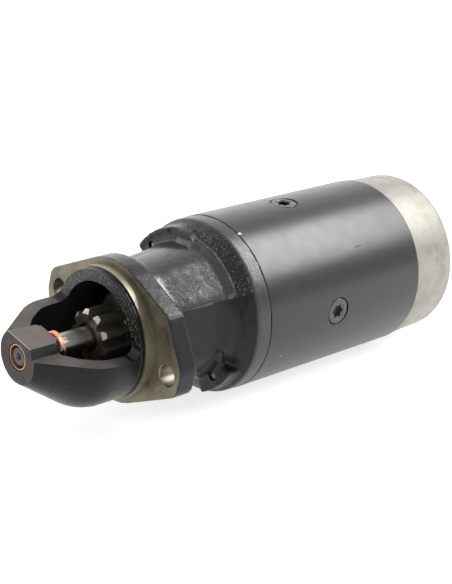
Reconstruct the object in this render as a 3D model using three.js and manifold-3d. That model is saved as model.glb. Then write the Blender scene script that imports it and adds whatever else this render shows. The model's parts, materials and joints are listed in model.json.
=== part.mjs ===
// A 12 V pre-engaged starter motor: flanged drive-end housing with an open nose, yoke with four
// poles, rear cover with the brush gear, and a solenoid that pushes the pinion out by a lever.
// Millimetres. The origin is on the shaft, in the plane of the mounting flange's front face.
// +X runs from the nose to the rear cover, +Z is up as the motor lies on yoke and solenoid.
import * as THREE from 'three';
import { mergeVertices } from 'three/addons/utils/BufferGeometryUtils.js';
import Module from 'manifold-3d';

const wasm = await Module();
wasm.setup();

// ---------------------------------------------------------------- driving dimensions
const GAP = 0.3; // between pieces that touch, run or seat
const THROUGH = 2; // how far a cutter runs past the face that it opens

// Angles about the shaft, in degrees from +Z towards +Y.
const GEAR_ANGLE = -16; // the side that faces the engine's ring gear
const SOLENOID_ANGLE = 108.3;
const FIRST_POLE_ANGLE = -6;
const POLE_COUNT = 4;
const LUG_ANGLES = [38.1, -142.1]; // through bolts

// Mounting flange and pilot
const FLANGE_THICKNESS = 13;
const FLANGE_R = 46;
const FLANGE_HOLE_PCD = 107.8;
const FLANGE_HOLE_R = 6.5;
const PILOT_R = 42.05;
const PILOT_LENGTH = 7;

// Nose
const NOSE_LENGTH = 69.1;
const NOSE_TIP_R = 16.6;
const NOSE_TIP_EDGE = 1.6;
const NOSE_R = 40.7;
const NOSE_WALL = 7.4;
const NOSE_CONE_ANGLE = 35;
const NOSE_CONE_ROUND = 31;
const BOSS_REAR_X = -44.6;
const BOSS_REAR_R = 15;
const FLAT_REAR_X = -48;
const FLAT_HEIGHT = 11.4; // of the flat on the nose's tip, from the shaft's axis
const RIM_HEIGHT = 5.8; // of the window's rim
const WINDOW_REAR_X = -10.5;
const WINDOW_CORNER_R = 6;

// Neck, shoulder and lugs
const NECK_FRONT_R = 40.8;
const NECK_REAR_R = 45;
const NECK_BORE_R = 37;
const SHOULDER_X = 62.5;
const LUG_FRONT_X = 57.2;
const LUG_R = 54;
const BAND_X = 70.4;
const HOUSING_REAR_X = 81;
const BOLT_CIRCLE_R = 46.5;
const BOLT_R = 2.85;

// Yoke and rear cover
const YOKE_R = 57.5;
const YOKE_WALL = 7;
const YOKE_LENGTH = 140;
const COVER_LENGTH = 39.4;
const COVER_WALL = 4.5;
const COVER_BACK_R = 55.8;

// Shaft and armature
const JOURNAL_R = 5.95;
const SHAFT_R = 7;
const SPLINE_R = 8.5;
const CENTRE_JOURNAL_R = 9.7;
const CORE_SEAT_R = 11;
const CORE_R = 35.5;
const CORE_LENGTH = 80;
const CORE_FRONT_X = 102;
const CORE_SLOTS = 16;
const AIR_GAP = 0.8;
const COMMUTATOR_R = 21;
const COMMUTATOR_LENGTH = 20;

// Field
const POLE_HALF_ANGLE = 20;
const SHOE_TIP_HALF_ANGLE = 34;
const COIL_HALF_ANGLE = 38.5;
const POLE_SCREW_X = 141.9;
const POLE_SCREW_HEAD_R = 8.7;
const POLE_SCREW_R = 3.9;

// Pinion drive
const TEETH = 9;
const PINION_R = 17.2;
const PINION_ROOT_R = 11.4;
const PINION_FRONT_X = -18;
const PINION_LENGTH = 22;
const PINION_TRAVEL = 18;
const CLUTCH_R = 23.5;
const CLUTCH_LENGTH = 24;
const SLEEVE_R = 13;
const SLEEVE_LENGTH = 32;
const RING_R = 18;
const RING_GROOVE_R = 14.5;
const RING_GROOVE_WIDTH = 7;
const RING_WALL = 2.5;

// Solenoid and lever
const SOLENOID_R = 29.5;
const SOLENOID_LENGTH = 62;
const SOLENOID_CLEARANCE = 2; // to the yoke
const SOLENOID_WALL = 2.5;
const PLUNGER_R = 11.2;
const PLUNGER_TRAVEL = 10.6;
const PIVOT_DISTANCE = 56; // from the shaft to the lever's pivot
const LEVER_THICKNESS = 6;
const LEVER_TIP_RISE = 2; // of the lever's tip at rest, above the solenoid's axis
const PIVOT_PIN_R = 4;
const CONTACT_ROD_R = 2.2;
const STUD_R = 4;
const NUT_FLATS = 13;
const LEAD_R = 2.6;

// The tower that holds the lever, and the round seat that the solenoid is screwed to
const TOWER_HALF_WIDTH = 14;
const TOWER_SLOT_HALF = 9;
const TOWER_WALL = 3;
const PLUNGER_SPACE_R = PLUNGER_R + 4.3;
const SEAT_THICKNESS = 8;
const SEAT_SCREW_R = 3;
const SEAT_SCREW_OFFSET = PLUNGER_SPACE_R + TOWER_WALL + 5;
const SEAT_R = SEAT_SCREW_OFFSET + 6;

// ---------------------------------------------------------------- worked-out places
const HOUSING_SEAM = HOUSING_REAR_X + GAP;
const YOKE_REAR_X = HOUSING_SEAM + YOKE_LENGTH;
const COVER_FRONT_X = YOKE_REAR_X + GAP;
const COVER_REAR_X = COVER_FRONT_X + COVER_LENGTH;
const YOKE_BORE_R = YOKE_R - YOKE_WALL;
const NOSE_BORE_R = NOSE_R - NOSE_WALL;
const NOSE_BUSH_R = JOURNAL_R + GAP + 1.85;
const CORE_REAR_X = CORE_FRONT_X + CORE_LENGTH;
const SHOE_FACE_R = CORE_R + AIR_GAP;
const COMMUTATOR_X = CORE_REAR_X + 16;
const COMMUTATOR_REAR_X = COMMUTATOR_X + COMMUTATOR_LENGTH;
const BRUSH_PLATE_X = COMMUTATOR_REAR_X + 1;
const CLUTCH_FRONT_X = PINION_FRONT_X + PINION_LENGTH + 4.5;
const CLUTCH_REAR_X = CLUTCH_FRONT_X + CLUTCH_LENGTH;
const PINION_TAIL_X = CLUTCH_REAR_X - 4;
const SLEEVE_REAR_X = CLUTCH_REAR_X + SLEEVE_LENGTH;
const RING_X = CLUTCH_REAR_X + 17; // middle of the lever's groove
const SOLENOID_D = YOKE_R + SOLENOID_CLEARANCE + Math.max(SOLENOID_R, SEAT_R);
const SOLENOID_X = HOUSING_REAR_X + GAP;
const SOLENOID_REAR_X = SOLENOID_X + SOLENOID_LENGTH;
const LEVER_SWING = 2 * Math.asin(PINION_TRAVEL / 2 / PIVOT_DISTANCE);
const PIVOT_X = RING_X - PINION_TRAVEL / 2;

// ---------------------------------------------------------------- materials
const finish = (color, roughness, metalness) =>
  new THREE.MeshStandardMaterial({ color, roughness, metalness });
const castBlack = finish(0x2b2c2e, 0.7, 0.4);
const paintBlack = finish(0x1b1c1e, 0.45, 0.2);
const castAlloy = finish(0xcfc9be, 0.55, 0.7);
const steel = finish(0x9a9a96, 0.3, 1);
const darkSteel = finish(0x55534f, 0.4, 0.9);
const plated = finish(0xb8b4a4, 0.35, 0.9);
const bronze = finish(0xb98248, 0.4, 0.9);
const copper = finish(0xc97a55, 0.35, 0.9);
const carbon = finish(0x33302e, 0.8, 0.1);
const bakelite = finish(0x202124, 0.5, 0);
const rubber = finish(0x1c1c1c, 0.9, 0);

// ---------------------------------------------------------------- solids from geometry
const radians = THREE.MathUtils.degToRad;

function toManifold(geometry) {
  let bare = geometry.clone();
  bare.deleteAttribute('normal');
  bare.deleteAttribute('uv');
  bare = mergeVertices(bare, 1e-4);
  return new wasm.Manifold(
    new wasm.Mesh({
      numProp: 3,
      vertProperties: new Float32Array(bare.attributes.position.array),
      triVerts: new Uint32Array(bare.index.array),
    }),
  );
}

function toGeometry(manifold) {
  const mesh = manifold.getMesh();
  const geometry = new THREE.BufferGeometry();
  geometry.setAttribute('position', new THREE.BufferAttribute(mesh.vertProperties, 3));
  geometry.setIndex(new THREE.BufferAttribute(mesh.triVerts, 1));
  geometry.computeVertexNormals();
  return geometry;
}

// Joins and cuts keep the geometries' own frame.
function join(...geometries) {
  return toGeometry(geometries.map(toManifold).reduce((whole, piece) => whole.add(piece)));
}

function cut(geometry, ...cutters) {
  return toGeometry(
    cutters.map(toManifold).reduce((whole, cutter) => whole.subtract(cutter), toManifold(geometry)),
  );
}

// ---------------------------------------------------------------- outlines
// Replaces each corner [a, b, radius] by an arc of that radius, where it has one.
function rounded(corners, steps = 4, closed = false) {
  const outline = [];
  corners.forEach(([a, b, radius], i) => {
    const last = corners.length - 1;
    if (!radius || (!closed && (i === 0 || i === last))) {
      outline.push([a, b]);
      return;
    }
    const before = corners[i === 0 ? last : i - 1];
    const after = corners[i === last ? 0 : i + 1];
    const here = new THREE.Vector2(a, b);
    const back = new THREE.Vector2(before[0], before[1]).sub(here).normalize();
    const on = new THREE.Vector2(after[0], after[1]).sub(here).normalize();
    const half = Math.acos(THREE.MathUtils.clamp(back.dot(on), -1, 1)) / 2;
    const toCentre = back.clone().add(on).normalize().multiplyScalar(radius / Math.sin(half));
    const start = back.clone().multiplyScalar(radius / Math.tan(half)).sub(toCentre);
    const end = on.clone().multiplyScalar(radius / Math.tan(half)).sub(toCentre);
    const sweep = Math.atan2(start.cross(end), start.dot(end));
    for (let k = 0; k <= steps; k++) {
      const point = start.clone().rotateAround(new THREE.Vector2(), (sweep * k) / steps);
      outline.push([here.x + toCentre.x + point.x, here.y + toCentre.y + point.y]);
    }
  });
  return outline;
}

// A point about the shaft, as [y, z].
function polar(radius, angle) {
  return [radius * Math.sin(radians(angle)), radius * Math.cos(radians(angle))];
}

// Points on a circle about the shaft, from one angle to another.
function arc(radius, from, to, steps) {
  return Array.from({ length: steps + 1 }, (_, i) => polar(radius, from + ((to - from) * i) / steps));
}

// A sector of a ring, centred on +Z.
function sector(inner, outer, halfAngle, steps = 6) {
  return [...arc(inner, -halfAngle, halfAngle, steps), ...arc(outer, halfAngle, -halfAngle, steps)];
}

function shapeOf(points) {
  const shape = new THREE.Shape(points.map(([a, b]) => new THREE.Vector2(a, b)));
  if (THREE.ShapeUtils.area(shape.getPoints()) < 0) {
    return new THREE.Shape(points.slice().reverse().map(([a, b]) => new THREE.Vector2(a, b)));
  }
  return shape;
}

// ---------------------------------------------------------------- simple geometries
// A profile of [x, radius] points turned about the X axis. It starts and ends on the axis.
function turned(profile, segments = 20) {
  const points = profile.map(([x, r]) => new THREE.Vector2(r, x));
  if (THREE.ShapeUtils.area(points) < 0) points.reverse();
  return new THREE.LatheGeometry(points, segments).rotateZ(-Math.PI / 2);
}

// A closed profile, for a ring, turned about the X axis.
function ring(profile, segments = 20) {
  return turned([...profile, profile[0]], segments);
}

function rod(x0, x1, radius, segments = 12) {
  return turned([[x0, 0], [x0, radius], [x1, radius], [x1, 0]], segments);
}

function tube(x0, x1, inner, outer, segments = 20) {
  return ring([[x0, inner], [x0, outer], [x1, outer], [x1, inner]], segments);
}

// An outline of [y, z] points, extruded along X.
function along(x0, x1, points) {
  const basis = new THREE.Matrix4().makeBasis(
    new THREE.Vector3(0, 1, 0),
    new THREE.Vector3(0, 0, 1),
    new THREE.Vector3(1, 0, 0),
  );
  return new THREE.ExtrudeGeometry(shapeOf(points), { depth: x1 - x0, bevelEnabled: false })
    .applyMatrix4(basis)
    .translate(x0, 0, 0);
}

// An outline of [x, z] points, extruded across, from -halfWidth to +halfWidth in Y.
function across(halfWidth, points) {
  const basis = new THREE.Matrix4().makeBasis(
    new THREE.Vector3(1, 0, 0),
    new THREE.Vector3(0, 0, 1),
    new THREE.Vector3(0, -1, 0),
  );
  return new THREE.ExtrudeGeometry(shapeOf(points), { depth: 2 * halfWidth, bevelEnabled: false })
    .applyMatrix4(basis)
    .translate(0, halfWidth, 0);
}

function block(x0, x1, y0, y1, z0, z1) {
  return new THREE.BoxGeometry(x1 - x0, y1 - y0, z1 - z0)
    .translate((x0 + x1) / 2, (y0 + y1) / 2, (z0 + z1) / 2);
}

// A hexagon prism along X.
function hexagon(x0, x1, acrossFlats) {
  return rod(x0, x1, acrossFlats / Math.sqrt(3), 6);
}

// A coil of round wire about the X axis.
function coil(x0, x1, radius, wire, turns, stepsPerTurn = 10) {
  const points = [];
  for (let i = 0; i <= turns * stepsPerTurn; i++) {
    const angle = (2 * Math.PI * i) / stepsPerTurn;
    const x = x0 + wire + ((x1 - x0 - 2 * wire) * i) / (turns * stepsPerTurn);
    points.push(new THREE.Vector3(x, radius * Math.sin(angle), radius * Math.cos(angle)));
  }
  const section = new THREE.Shape().absarc(0, 0, wire, 0, 2 * Math.PI);
  return new THREE.ExtrudeGeometry(section, {
    extrudePath: new THREE.CatmullRomCurve3(points),
    steps: turns * stepsPerTurn,
    curveSegments: 2,
    bevelEnabled: false,
  });
}

// Turns what was made on the +Z side of the shaft to an angle from +Z towards +Y.
const turnTo = (angle, geometry) => geometry.rotateX(-radians(angle));
const shiftUp = (distance, geometry) => geometry.translate(0, 0, distance);

// ---------------------------------------------------------------- the assembly
const starter = new THREE.Group();
const solenoidFrame = new THREE.Group();
solenoidFrame.rotation.x = -radians(SOLENOID_ANGLE);
starter.add(solenoidFrame);

function add(name, geometry, material, parent = starter) {
  const mesh = new THREE.Mesh(geometry, material);
  mesh.name = name;
  parent.add(mesh);
}

// ---------------------------------------------------------------- drive-end housing
// A straight edge of the flange's outline: its normal's angle and its distance from the shaft.
function meet([angleA, distanceA], [angleB, distanceB]) {
  const a = radians(angleA);
  const b = radians(angleB);
  const det = Math.sin(a) * Math.cos(b) - Math.cos(a) * Math.sin(b);
  return [
    (distanceA * Math.cos(b) - distanceB * Math.cos(a)) / det,
    (distanceB * Math.sin(a) - distanceA * Math.sin(b)) / det,
  ];
}

// The flange is a disc with two lobes, alike when turned by half a turn.
function flangeOutline() {
  const earR = FLANGE_HOLE_PCD / 2 + 11.1;
  const upper = [-15.5, FLANGE_R];
  const corner = [-55, FLANGE_R + 11.6];
  const end = [-92, earR];
  const lower = [-143.5, FLANGE_R];
  const lobe = rounded(
    [
      [FLANGE_R * Math.sin(radians(upper[0])), FLANGE_R * Math.cos(radians(upper[0]))],
      [...meet(upper, corner), 5],
      [...meet(corner, end), 9],
      [...meet(end, lower), 9],
      [FLANGE_R * Math.sin(radians(lower[0])), FLANGE_R * Math.cos(radians(lower[0]))],
    ],
    4,
  );
  const belly = arc(FLANGE_R, lower[0], upper[0] - 180, 6).slice(1, -1);
  const half = [...lobe, ...belly];
  return [...half, ...half.map(([y, z]) => [-y, -z])];
}

// The nose, pilot, flange, neck and shoulder as one turned body.
function housingBody() {
  const slope = Math.tan(radians(NOSE_CONE_ANGLE));
  const coneFootR = NOSE_TIP_R + NOSE_TIP_EDGE;
  const coneFootX = -NOSE_LENGTH + NOSE_TIP_EDGE;
  const coneTopX = coneFootX + (NOSE_R - coneFootR) / slope;
  const profile = rounded(
    [
      [-NOSE_LENGTH, 0],
      [-NOSE_LENGTH, NOSE_TIP_R],
      [coneFootX, coneFootR],
      [coneTopX, NOSE_R, NOSE_CONE_ROUND],
      [-PILOT_LENGTH, NOSE_R],
      [-PILOT_LENGTH, PILOT_R],
      [FLANGE_THICKNESS / 2, PILOT_R],
      [FLANGE_THICKNESS / 2, NECK_FRONT_R],
      [FLANGE_THICKNESS + 8, NECK_FRONT_R],
      [SHOULDER_X - 12, NECK_REAR_R - 1.4],
      [SHOULDER_X, NECK_REAR_R],
      [BAND_X, YOKE_R],
      [HOUSING_REAR_X, YOKE_R],
      [HOUSING_REAR_X, 0],
    ],
    4,
  );
  return turned(profile, 36);
}

// The hollow for the pinion, the drive and the centre bearing plate.
function housingHollow() {
  const plateSeatX = HOUSING_REAR_X - 5.3;
  const profile = rounded(
    [
      [BOSS_REAR_X, 0],
      [BOSS_REAR_X, BOSS_REAR_R - 0.6],
      [BOSS_REAR_X - 6, BOSS_REAR_R],
      [BOSS_REAR_X - 6, BOSS_REAR_R + 1],
      [BOSS_REAR_X + 16.5, NOSE_BORE_R, 18],
      [FLANGE_THICKNESS, NOSE_BORE_R],
      [FLANGE_THICKNESS + 6, NECK_BORE_R],
      [plateSeatX, NECK_BORE_R],
      [plateSeatX, YOKE_BORE_R],
      [HOUSING_REAR_X + THROUGH, YOKE_BORE_R],
      [HOUSING_REAR_X + THROUGH, 0],
    ],
    3,
  );
  return turned(profile, 32);
}

// What is milled away on the side that faces the ring gear, down to the window's rim, leaving
// the round boss at the nose's tip.
function windowCutter() {
  const farOut = NOSE_R + THROUGH;
  const outside = -NOSE_LENGTH - THROUGH;
  const opening = across(
    farOut,
    rounded(
      [
        [outside, RIM_HEIGHT],
        [WINDOW_REAR_X, RIM_HEIGHT, WINDOW_CORNER_R],
        [WINDOW_REAR_X, farOut],
        [outside, farOut],
      ],
      4,
      true,
    ),
  );
  const boss = turned(
    [
      [outside - 1, 0],
      [outside - 1, NOSE_TIP_R],
      [-NOSE_LENGTH, NOSE_TIP_R],
      [FLAT_REAR_X, BOSS_REAR_R],
      [FLAT_REAR_X, 0],
    ],
    40,
  );
  return turnTo(GEAR_ANGLE, cut(opening, boss));
}

// A lug that a through bolt screws into, on the shoulder.
function lug(from, to) {
  const rootR = NECK_REAR_R - 3;
  const outline = [...arc(rootR, from, to, 4), ...arc(LUG_R, to, from, 4)];
  return along(LUG_FRONT_X, BAND_X + 2, outline);
}

// The tower that holds the lever, and the round flange that the solenoid is screwed to.
// Both are drawn in the solenoid's frame, where the solenoid's axis lies above the shaft.
const TOWER_FRONT_X = PIVOT_X - 15.5;
const TOWER_TOP_D = SOLENOID_D + 14;

function tower() {
  const wedge = across(TOWER_HALF_WIDTH, [
    [TOWER_FRONT_X, NOSE_BORE_R],
    [TOWER_FRONT_X, PIVOT_DISTANCE + 4],
    [PIVOT_X - 5, TOWER_TOP_D - 5],
    [PIVOT_X + 2, TOWER_TOP_D],
    [HOUSING_REAR_X - SEAT_THICKNESS + 1, TOWER_TOP_D + 6],
    [HOUSING_REAR_X - SEAT_THICKNESS + 1, NOSE_BORE_R],
  ]);
  const seat = shiftUp(
    SOLENOID_D,
    turned(
      [
        [PIVOT_X + 5, 0],
        [PIVOT_X + 5, TOWER_HALF_WIDTH],
        [PIVOT_X + 11, PLUNGER_SPACE_R + TOWER_WALL],
        [HOUSING_REAR_X - SEAT_THICKNESS, PLUNGER_SPACE_R + TOWER_WALL],
        [HOUSING_REAR_X - SEAT_THICKNESS, SEAT_R],
        [HOUSING_REAR_X, SEAT_R],
        [HOUSING_REAR_X, 0],
      ],
      32,
    ),
  );
  return turnTo(SOLENOID_ANGLE, join(wedge, seat));
}

function towerHollow() {
  const slotFrontX = TOWER_FRONT_X + 4.5;
  const slot = across(TOWER_SLOT_HALF, [
    [slotFrontX, NOSE_BORE_R - 5],
    [slotFrontX, PIVOT_DISTANCE + 3],
    [PIVOT_X, TOWER_TOP_D - 6],
    [PIVOT_X + 6, TOWER_TOP_D - 4.5],
    [HOUSING_REAR_X - SEAT_THICKNESS - 4, TOWER_TOP_D - 1],
    [HOUSING_REAR_X - SEAT_THICKNESS - 4, NOSE_BORE_R - 5],
  ]);
  const plungerBore = shiftUp(
    SOLENOID_D,
    rod(PIVOT_X + 13, HOUSING_REAR_X + THROUGH, PLUNGER_SPACE_R, 24),
  );
  const pivotHole = rod(-30, 30, PIVOT_PIN_R + GAP)
    .rotateZ(Math.PI / 2)
    .translate(PIVOT_X, 0, PIVOT_DISTANCE);
  const screwHoles = [-1, 1].map((side) =>
    rod(HOUSING_REAR_X - SEAT_THICKNESS - 12, HOUSING_REAR_X + THROUGH, SEAT_SCREW_R + GAP)
      .translate(0, side * SEAT_SCREW_OFFSET, SOLENOID_D),
  );
  return turnTo(SOLENOID_ANGLE, join(slot, plungerBore, pivotHole, ...screwHoles));
}

function flangeHole(side) {
  return rod(-THROUGH, FLANGE_THICKNESS + THROUGH, FLANGE_HOLE_R, 20)
    .translate(0, (side * FLANGE_HOLE_PCD) / 2, 0);
}

function driveEndHousing() {
  const flange = turnTo(
    GEAR_ANGLE,
    cut(along(0, FLANGE_THICKNESS, flangeOutline()), flangeHole(1), flangeHole(-1)),
  );
  const body = join(
    housingBody(),
    flange,
    lug(LUG_ANGLES[0] + 14, LUG_ANGLES[0] - 41),
    lug(LUG_ANGLES[1] + 16, LUG_ANGLES[1] - 19),
    tower(),
  );
  const tipFlat = turnTo(
    GEAR_ANGLE,
    block(-NOSE_LENGTH - THROUGH, FLAT_REAR_X + THROUGH, -30, 30, FLAT_HEIGHT, 40),
  );
  const boltHoles = LUG_ANGLES.map((angle) =>
    turnTo(
      angle,
      shiftUp(BOLT_CIRCLE_R, rod(LUG_FRONT_X - THROUGH, HOUSING_REAR_X + THROUGH, BOLT_R + GAP)),
    ),
  );
  const bushBore = rod(-NOSE_LENGTH - THROUGH, BOSS_REAR_X + THROUGH, NOSE_BUSH_R + GAP, 24);
  return cut(
    body,
    housingHollow(),
    towerHollow(),
    windowCutter(),
    tipFlat,
    bushBore,
    ...boltHoles,
  );
}

add('drive_end_housing', driveEndHousing(), castBlack);

const BUSH_X = -NOSE_LENGTH + 0.4;
add('nose_bush', tube(BUSH_X, BOSS_REAR_X, JOURNAL_R + GAP, NOSE_BUSH_R), bronze);
add(
  'thrust_washer',
  tube(BOSS_REAR_X + GAP, BOSS_REAR_X + GAP + 3.6, SHAFT_R + GAP, NOSE_BUSH_R + 1.4),
  copper,
);

// ---------------------------------------------------------------- centre bearing
const PLATE_FRONT_X = HOUSING_REAR_X - 5.3 + GAP;
const CENTRE_BUSH_R = CENTRE_JOURNAL_R + GAP + 2;
const boltClearances = (x0, x1) =>
  LUG_ANGLES.map((angle) =>
    turnTo(angle, shiftUp(BOLT_CIRCLE_R, rod(x0 - THROUGH, x1 + THROUGH, BOLT_R + GAP))),
  );

add(
  'centre_bearing_plate',
  cut(
    ring([
      [PLATE_FRONT_X - 6, CENTRE_BUSH_R + GAP],
      [PLATE_FRONT_X - 6, CENTRE_BUSH_R + 5],
      [PLATE_FRONT_X, CENTRE_BUSH_R + 8],
      [PLATE_FRONT_X, YOKE_BORE_R - GAP],
      [HOUSING_REAR_X, YOKE_BORE_R - GAP],
      [HOUSING_REAR_X, CENTRE_BUSH_R + GAP],
    ]),
    ...boltClearances(PLATE_FRONT_X, HOUSING_REAR_X),
  ),
  castAlloy,
);
add(
  'centre_bush',
  tube(PLATE_FRONT_X - 5.5, HOUSING_REAR_X - 0.5, CENTRE_JOURNAL_R + GAP, CENTRE_BUSH_R),
  bronze,
);

// ---------------------------------------------------------------- yoke and field
const poleAngle = (index) => FIRST_POLE_ANGLE + (index * 360) / POLE_COUNT;
const poles = Array.from({ length: POLE_COUNT }, (_, index) => index);
const GROMMET_X = CORE_REAR_X + 18;
const GROMMET_R = 5.7;

// A piece turned about a radius of the shaft, from a profile of [distance, radius] points.
function radial(x, angle, geometry) {
  return turnTo(angle, geometry.rotateY(-Math.PI / 2).translate(x, 0, 0));
}

function poleScrew(clearance) {
  const headDepth = POLE_SCREW_HEAD_R - POLE_SCREW_R;
  return turned(
    [
      [YOKE_BORE_R - 7 - clearance * 4, 0],
      [YOKE_BORE_R - 7 - clearance * 4, POLE_SCREW_R + clearance],
      [YOKE_R - 1 - headDepth, POLE_SCREW_R + clearance],
      [YOKE_R - 1, POLE_SCREW_HEAD_R + clearance],
      [YOKE_R - 0.4 + clearance * 8, POLE_SCREW_HEAD_R + clearance],
      [YOKE_R - 0.4 + clearance * 8, 0],
    ],
    16,
  );
}

add(
  'yoke',
  cut(
    tube(HOUSING_SEAM, YOKE_REAR_X, YOKE_BORE_R, YOKE_R, 40),
    ...poles.map((index) => radial(POLE_SCREW_X, poleAngle(index), poleScrew(GAP))),
    radial(GROMMET_X, SOLENOID_ANGLE, rod(YOKE_BORE_R - 4, YOKE_R + 4, GROMMET_R + GAP)),
  ),
  paintBlack,
);

function poleShoe() {
  const core = along(CORE_FRONT_X - 2, CORE_REAR_X + 2, [
    ...arc(SHOE_FACE_R, -SHOE_TIP_HALF_ANGLE, SHOE_TIP_HALF_ANGLE, 6),
    ...arc(SHOE_FACE_R + 2.4, SHOE_TIP_HALF_ANGLE, POLE_HALF_ANGLE, 1),
    ...arc(YOKE_BORE_R - GAP, POLE_HALF_ANGLE, -POLE_HALF_ANGLE, 4),
    ...arc(SHOE_FACE_R + 2.4, -POLE_HALF_ANGLE, -SHOE_TIP_HALF_ANGLE, 1),
  ]);
  return cut(core, radial(POLE_SCREW_X, 0, poleScrew(GAP)));
}

poles.forEach((index) => {
  add(`pole_shoe_${index + 1}`, turnTo(poleAngle(index), poleShoe()), darkSteel);
  const screw = radial(POLE_SCREW_X, poleAngle(index), poleScrew(0));
  add(`pole_screw_${index + 1}`, screw, darkSteel);
});

// Four flat coils about the poles, joined in series by straps that pass under the bolts.
function fieldCoils() {
  const inner = SHOE_FACE_R + 3.6;
  const outer = YOKE_BORE_R - 1;
  const windingWidth = 7.5;
  const poleClearance = 0.8;
  const coilFrontX = CORE_FRONT_X - 2 - poleClearance;
  const coilRearX = CORE_REAR_X + 2 + poleClearance;
  const oneCoil = () =>
    cut(
      along(coilFrontX - windingWidth, coilRearX + windingWidth, sector(inner, outer, COIL_HALF_ANGLE)),
      along(coilFrontX, coilRearX, sector(inner - 2, outer + 2, POLE_HALF_ANGLE + 1.4)),
    );
  const strapHalf = 180 / POLE_COUNT - COIL_HALF_ANGLE + 3;
  const strap = () =>
    along(coilRearX + 3, coilRearX + 6, sector(inner + 0.6, inner + 2.8, strapHalf, 2));
  return join(
    ...poles.map((index) => turnTo(poleAngle(index), oneCoil())),
    ...poles.slice(0, -1).map((index) => turnTo(poleAngle(index) + 180 / POLE_COUNT, strap())),
  );
}

add('field_coils', fieldCoils(), copper);

// ---------------------------------------------------------------- rear cover
const REAR_BUSH_R = JOURNAL_R + GAP + 2.5;
const HUB_FRONT_X = COVER_REAR_X - 20;
const END_CAP_R = 17;

add(
  'rear_cover',
  cut(
    ring([
      [COVER_FRONT_X, YOKE_BORE_R + 1.5],
      [COVER_FRONT_X, YOKE_R - 0.4],
      [COVER_FRONT_X + 2.6, YOKE_R - 0.4],
      [COVER_FRONT_X + 3.2, YOKE_R - 1.2],
      ...rounded([
        [COVER_FRONT_X + 3.2, YOKE_R - 1.2],
        [COVER_REAR_X, COVER_BACK_R, 5],
        [COVER_REAR_X, 0],
      ], 3).slice(1, -1),
      [COVER_REAR_X, REAR_BUSH_R + GAP],
      [HUB_FRONT_X, REAR_BUSH_R + GAP],
      [HUB_FRONT_X, REAR_BUSH_R + 5],
      [COVER_REAR_X - COVER_WALL, REAR_BUSH_R + 6],
      [COVER_REAR_X - COVER_WALL, COVER_BACK_R - COVER_WALL - 4],
      [COVER_REAR_X - COVER_WALL - 4, YOKE_BORE_R + 1.5],
    ], 36),
    ...boltClearances(COVER_REAR_X - COVER_WALL, COVER_REAR_X),
  ),
  castAlloy,
);
add(
  'rear_bush',
  tube(HUB_FRONT_X + 0.5, COVER_REAR_X - 0.5, JOURNAL_R + GAP, REAR_BUSH_R),
  bronze,
);
add(
  'shaft_end_cap',
  turned([
    [COVER_REAR_X + GAP, 0],
    [COVER_REAR_X + GAP, END_CAP_R],
    [COVER_REAR_X + GAP + 1.5, END_CAP_R],
    [COVER_REAR_X + GAP + 1.5, END_CAP_R - 5],
    [COVER_REAR_X + GAP + 3.2, END_CAP_R - 6.5],
    [COVER_REAR_X + GAP + 3.2, 0],
  ]),
  plated,
);

LUG_ANGLES.forEach((angle, index) => {
  const bolt = join(
    rod(LUG_FRONT_X + 1.2, COVER_REAR_X + GAP + 1, BOLT_R, 12),
    rod(COVER_REAR_X + GAP, COVER_REAR_X + GAP + 1, 5.6),
    hexagon(COVER_REAR_X + GAP + 0.9, COVER_REAR_X + GAP + 4.6, 9.4),
  );
  add(`through_bolt_${index + 1}`, turnTo(angle, shiftUp(BOLT_CIRCLE_R, bolt)), plated);
});

// ---------------------------------------------------------------- brush gear
const BRUSH_HALF_WIDTH = 5;
const BRUSH_X0 = COMMUTATOR_X + 4;
const BRUSH_X1 = COMMUTATOR_REAR_X - 2.5;
const BRUSH_OUTER_R = COMMUTATOR_R + GAP + 16;
const CAGE_WALL = 1.2;

function brushHolder() {
  const plate = tube(BRUSH_PLATE_X, BRUSH_PLATE_X + 2, 13, YOKE_BORE_R - GAP, 36);
  const innerHalf = BRUSH_HALF_WIDTH + GAP;
  const cage = () =>
    cut(
      block(
        BRUSH_X0 - GAP - CAGE_WALL, BRUSH_PLATE_X + 0.5,
        -innerHalf - CAGE_WALL, innerHalf + CAGE_WALL,
        COMMUTATOR_R + 3.5, BRUSH_OUTER_R - 2,
      ),
      block(BRUSH_X0 - GAP, BRUSH_X1 + GAP, -innerHalf, innerHalf, COMMUTATOR_R, BRUSH_OUTER_R),
    );
  return cut(
    join(plate, ...poles.map((index) => turnTo(poleAngle(index), cage()))),
    ...boltClearances(BRUSH_PLATE_X, BRUSH_PLATE_X + 2),
  );
}

// A flat clock spring beside the cage, with an arm that presses on the brush's back.
function brushSpring() {
  const centreY = -BRUSH_HALF_WIDTH - 8;
  const centreR = BRUSH_OUTER_R + 1;
  const x0 = BRUSH_X0 + 2;
  const x1 = BRUSH_X1 - 3;
  const roll = cut(
    rod(x0, x1, 4.2, 12).translate(0, centreY, centreR),
    rod(x0 - 1, x1 + 1, 3, 12).translate(0, centreY, centreR),
  );
  const arm = block(x0, x1, centreY, 2, centreR + 3.2, centreR + 4.1);
  const tip = block(x0, x1, 0.5, 2, BRUSH_OUTER_R + GAP, centreR + 4);
  return join(roll, arm, tip);
}

add('brush_holder', brushHolder(), plated);
poles.forEach((index) => {
  const brush = block(
    BRUSH_X0, BRUSH_X1,
    -BRUSH_HALF_WIDTH, BRUSH_HALF_WIDTH,
    COMMUTATOR_R + GAP, BRUSH_OUTER_R,
  );
  add(`brush_${index + 1}`, turnTo(poleAngle(index), brush), carbon);
  add(`brush_spring_${index + 1}`, turnTo(poleAngle(index), brushSpring()), steel);
});

// ---------------------------------------------------------------- armature
const WINDING_R = CORE_R - 1.5;
const SPLINE_X0 = PINION_TAIL_X + 1.5;
const CORE_SEAT_X = HOUSING_REAR_X + 4;

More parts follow.
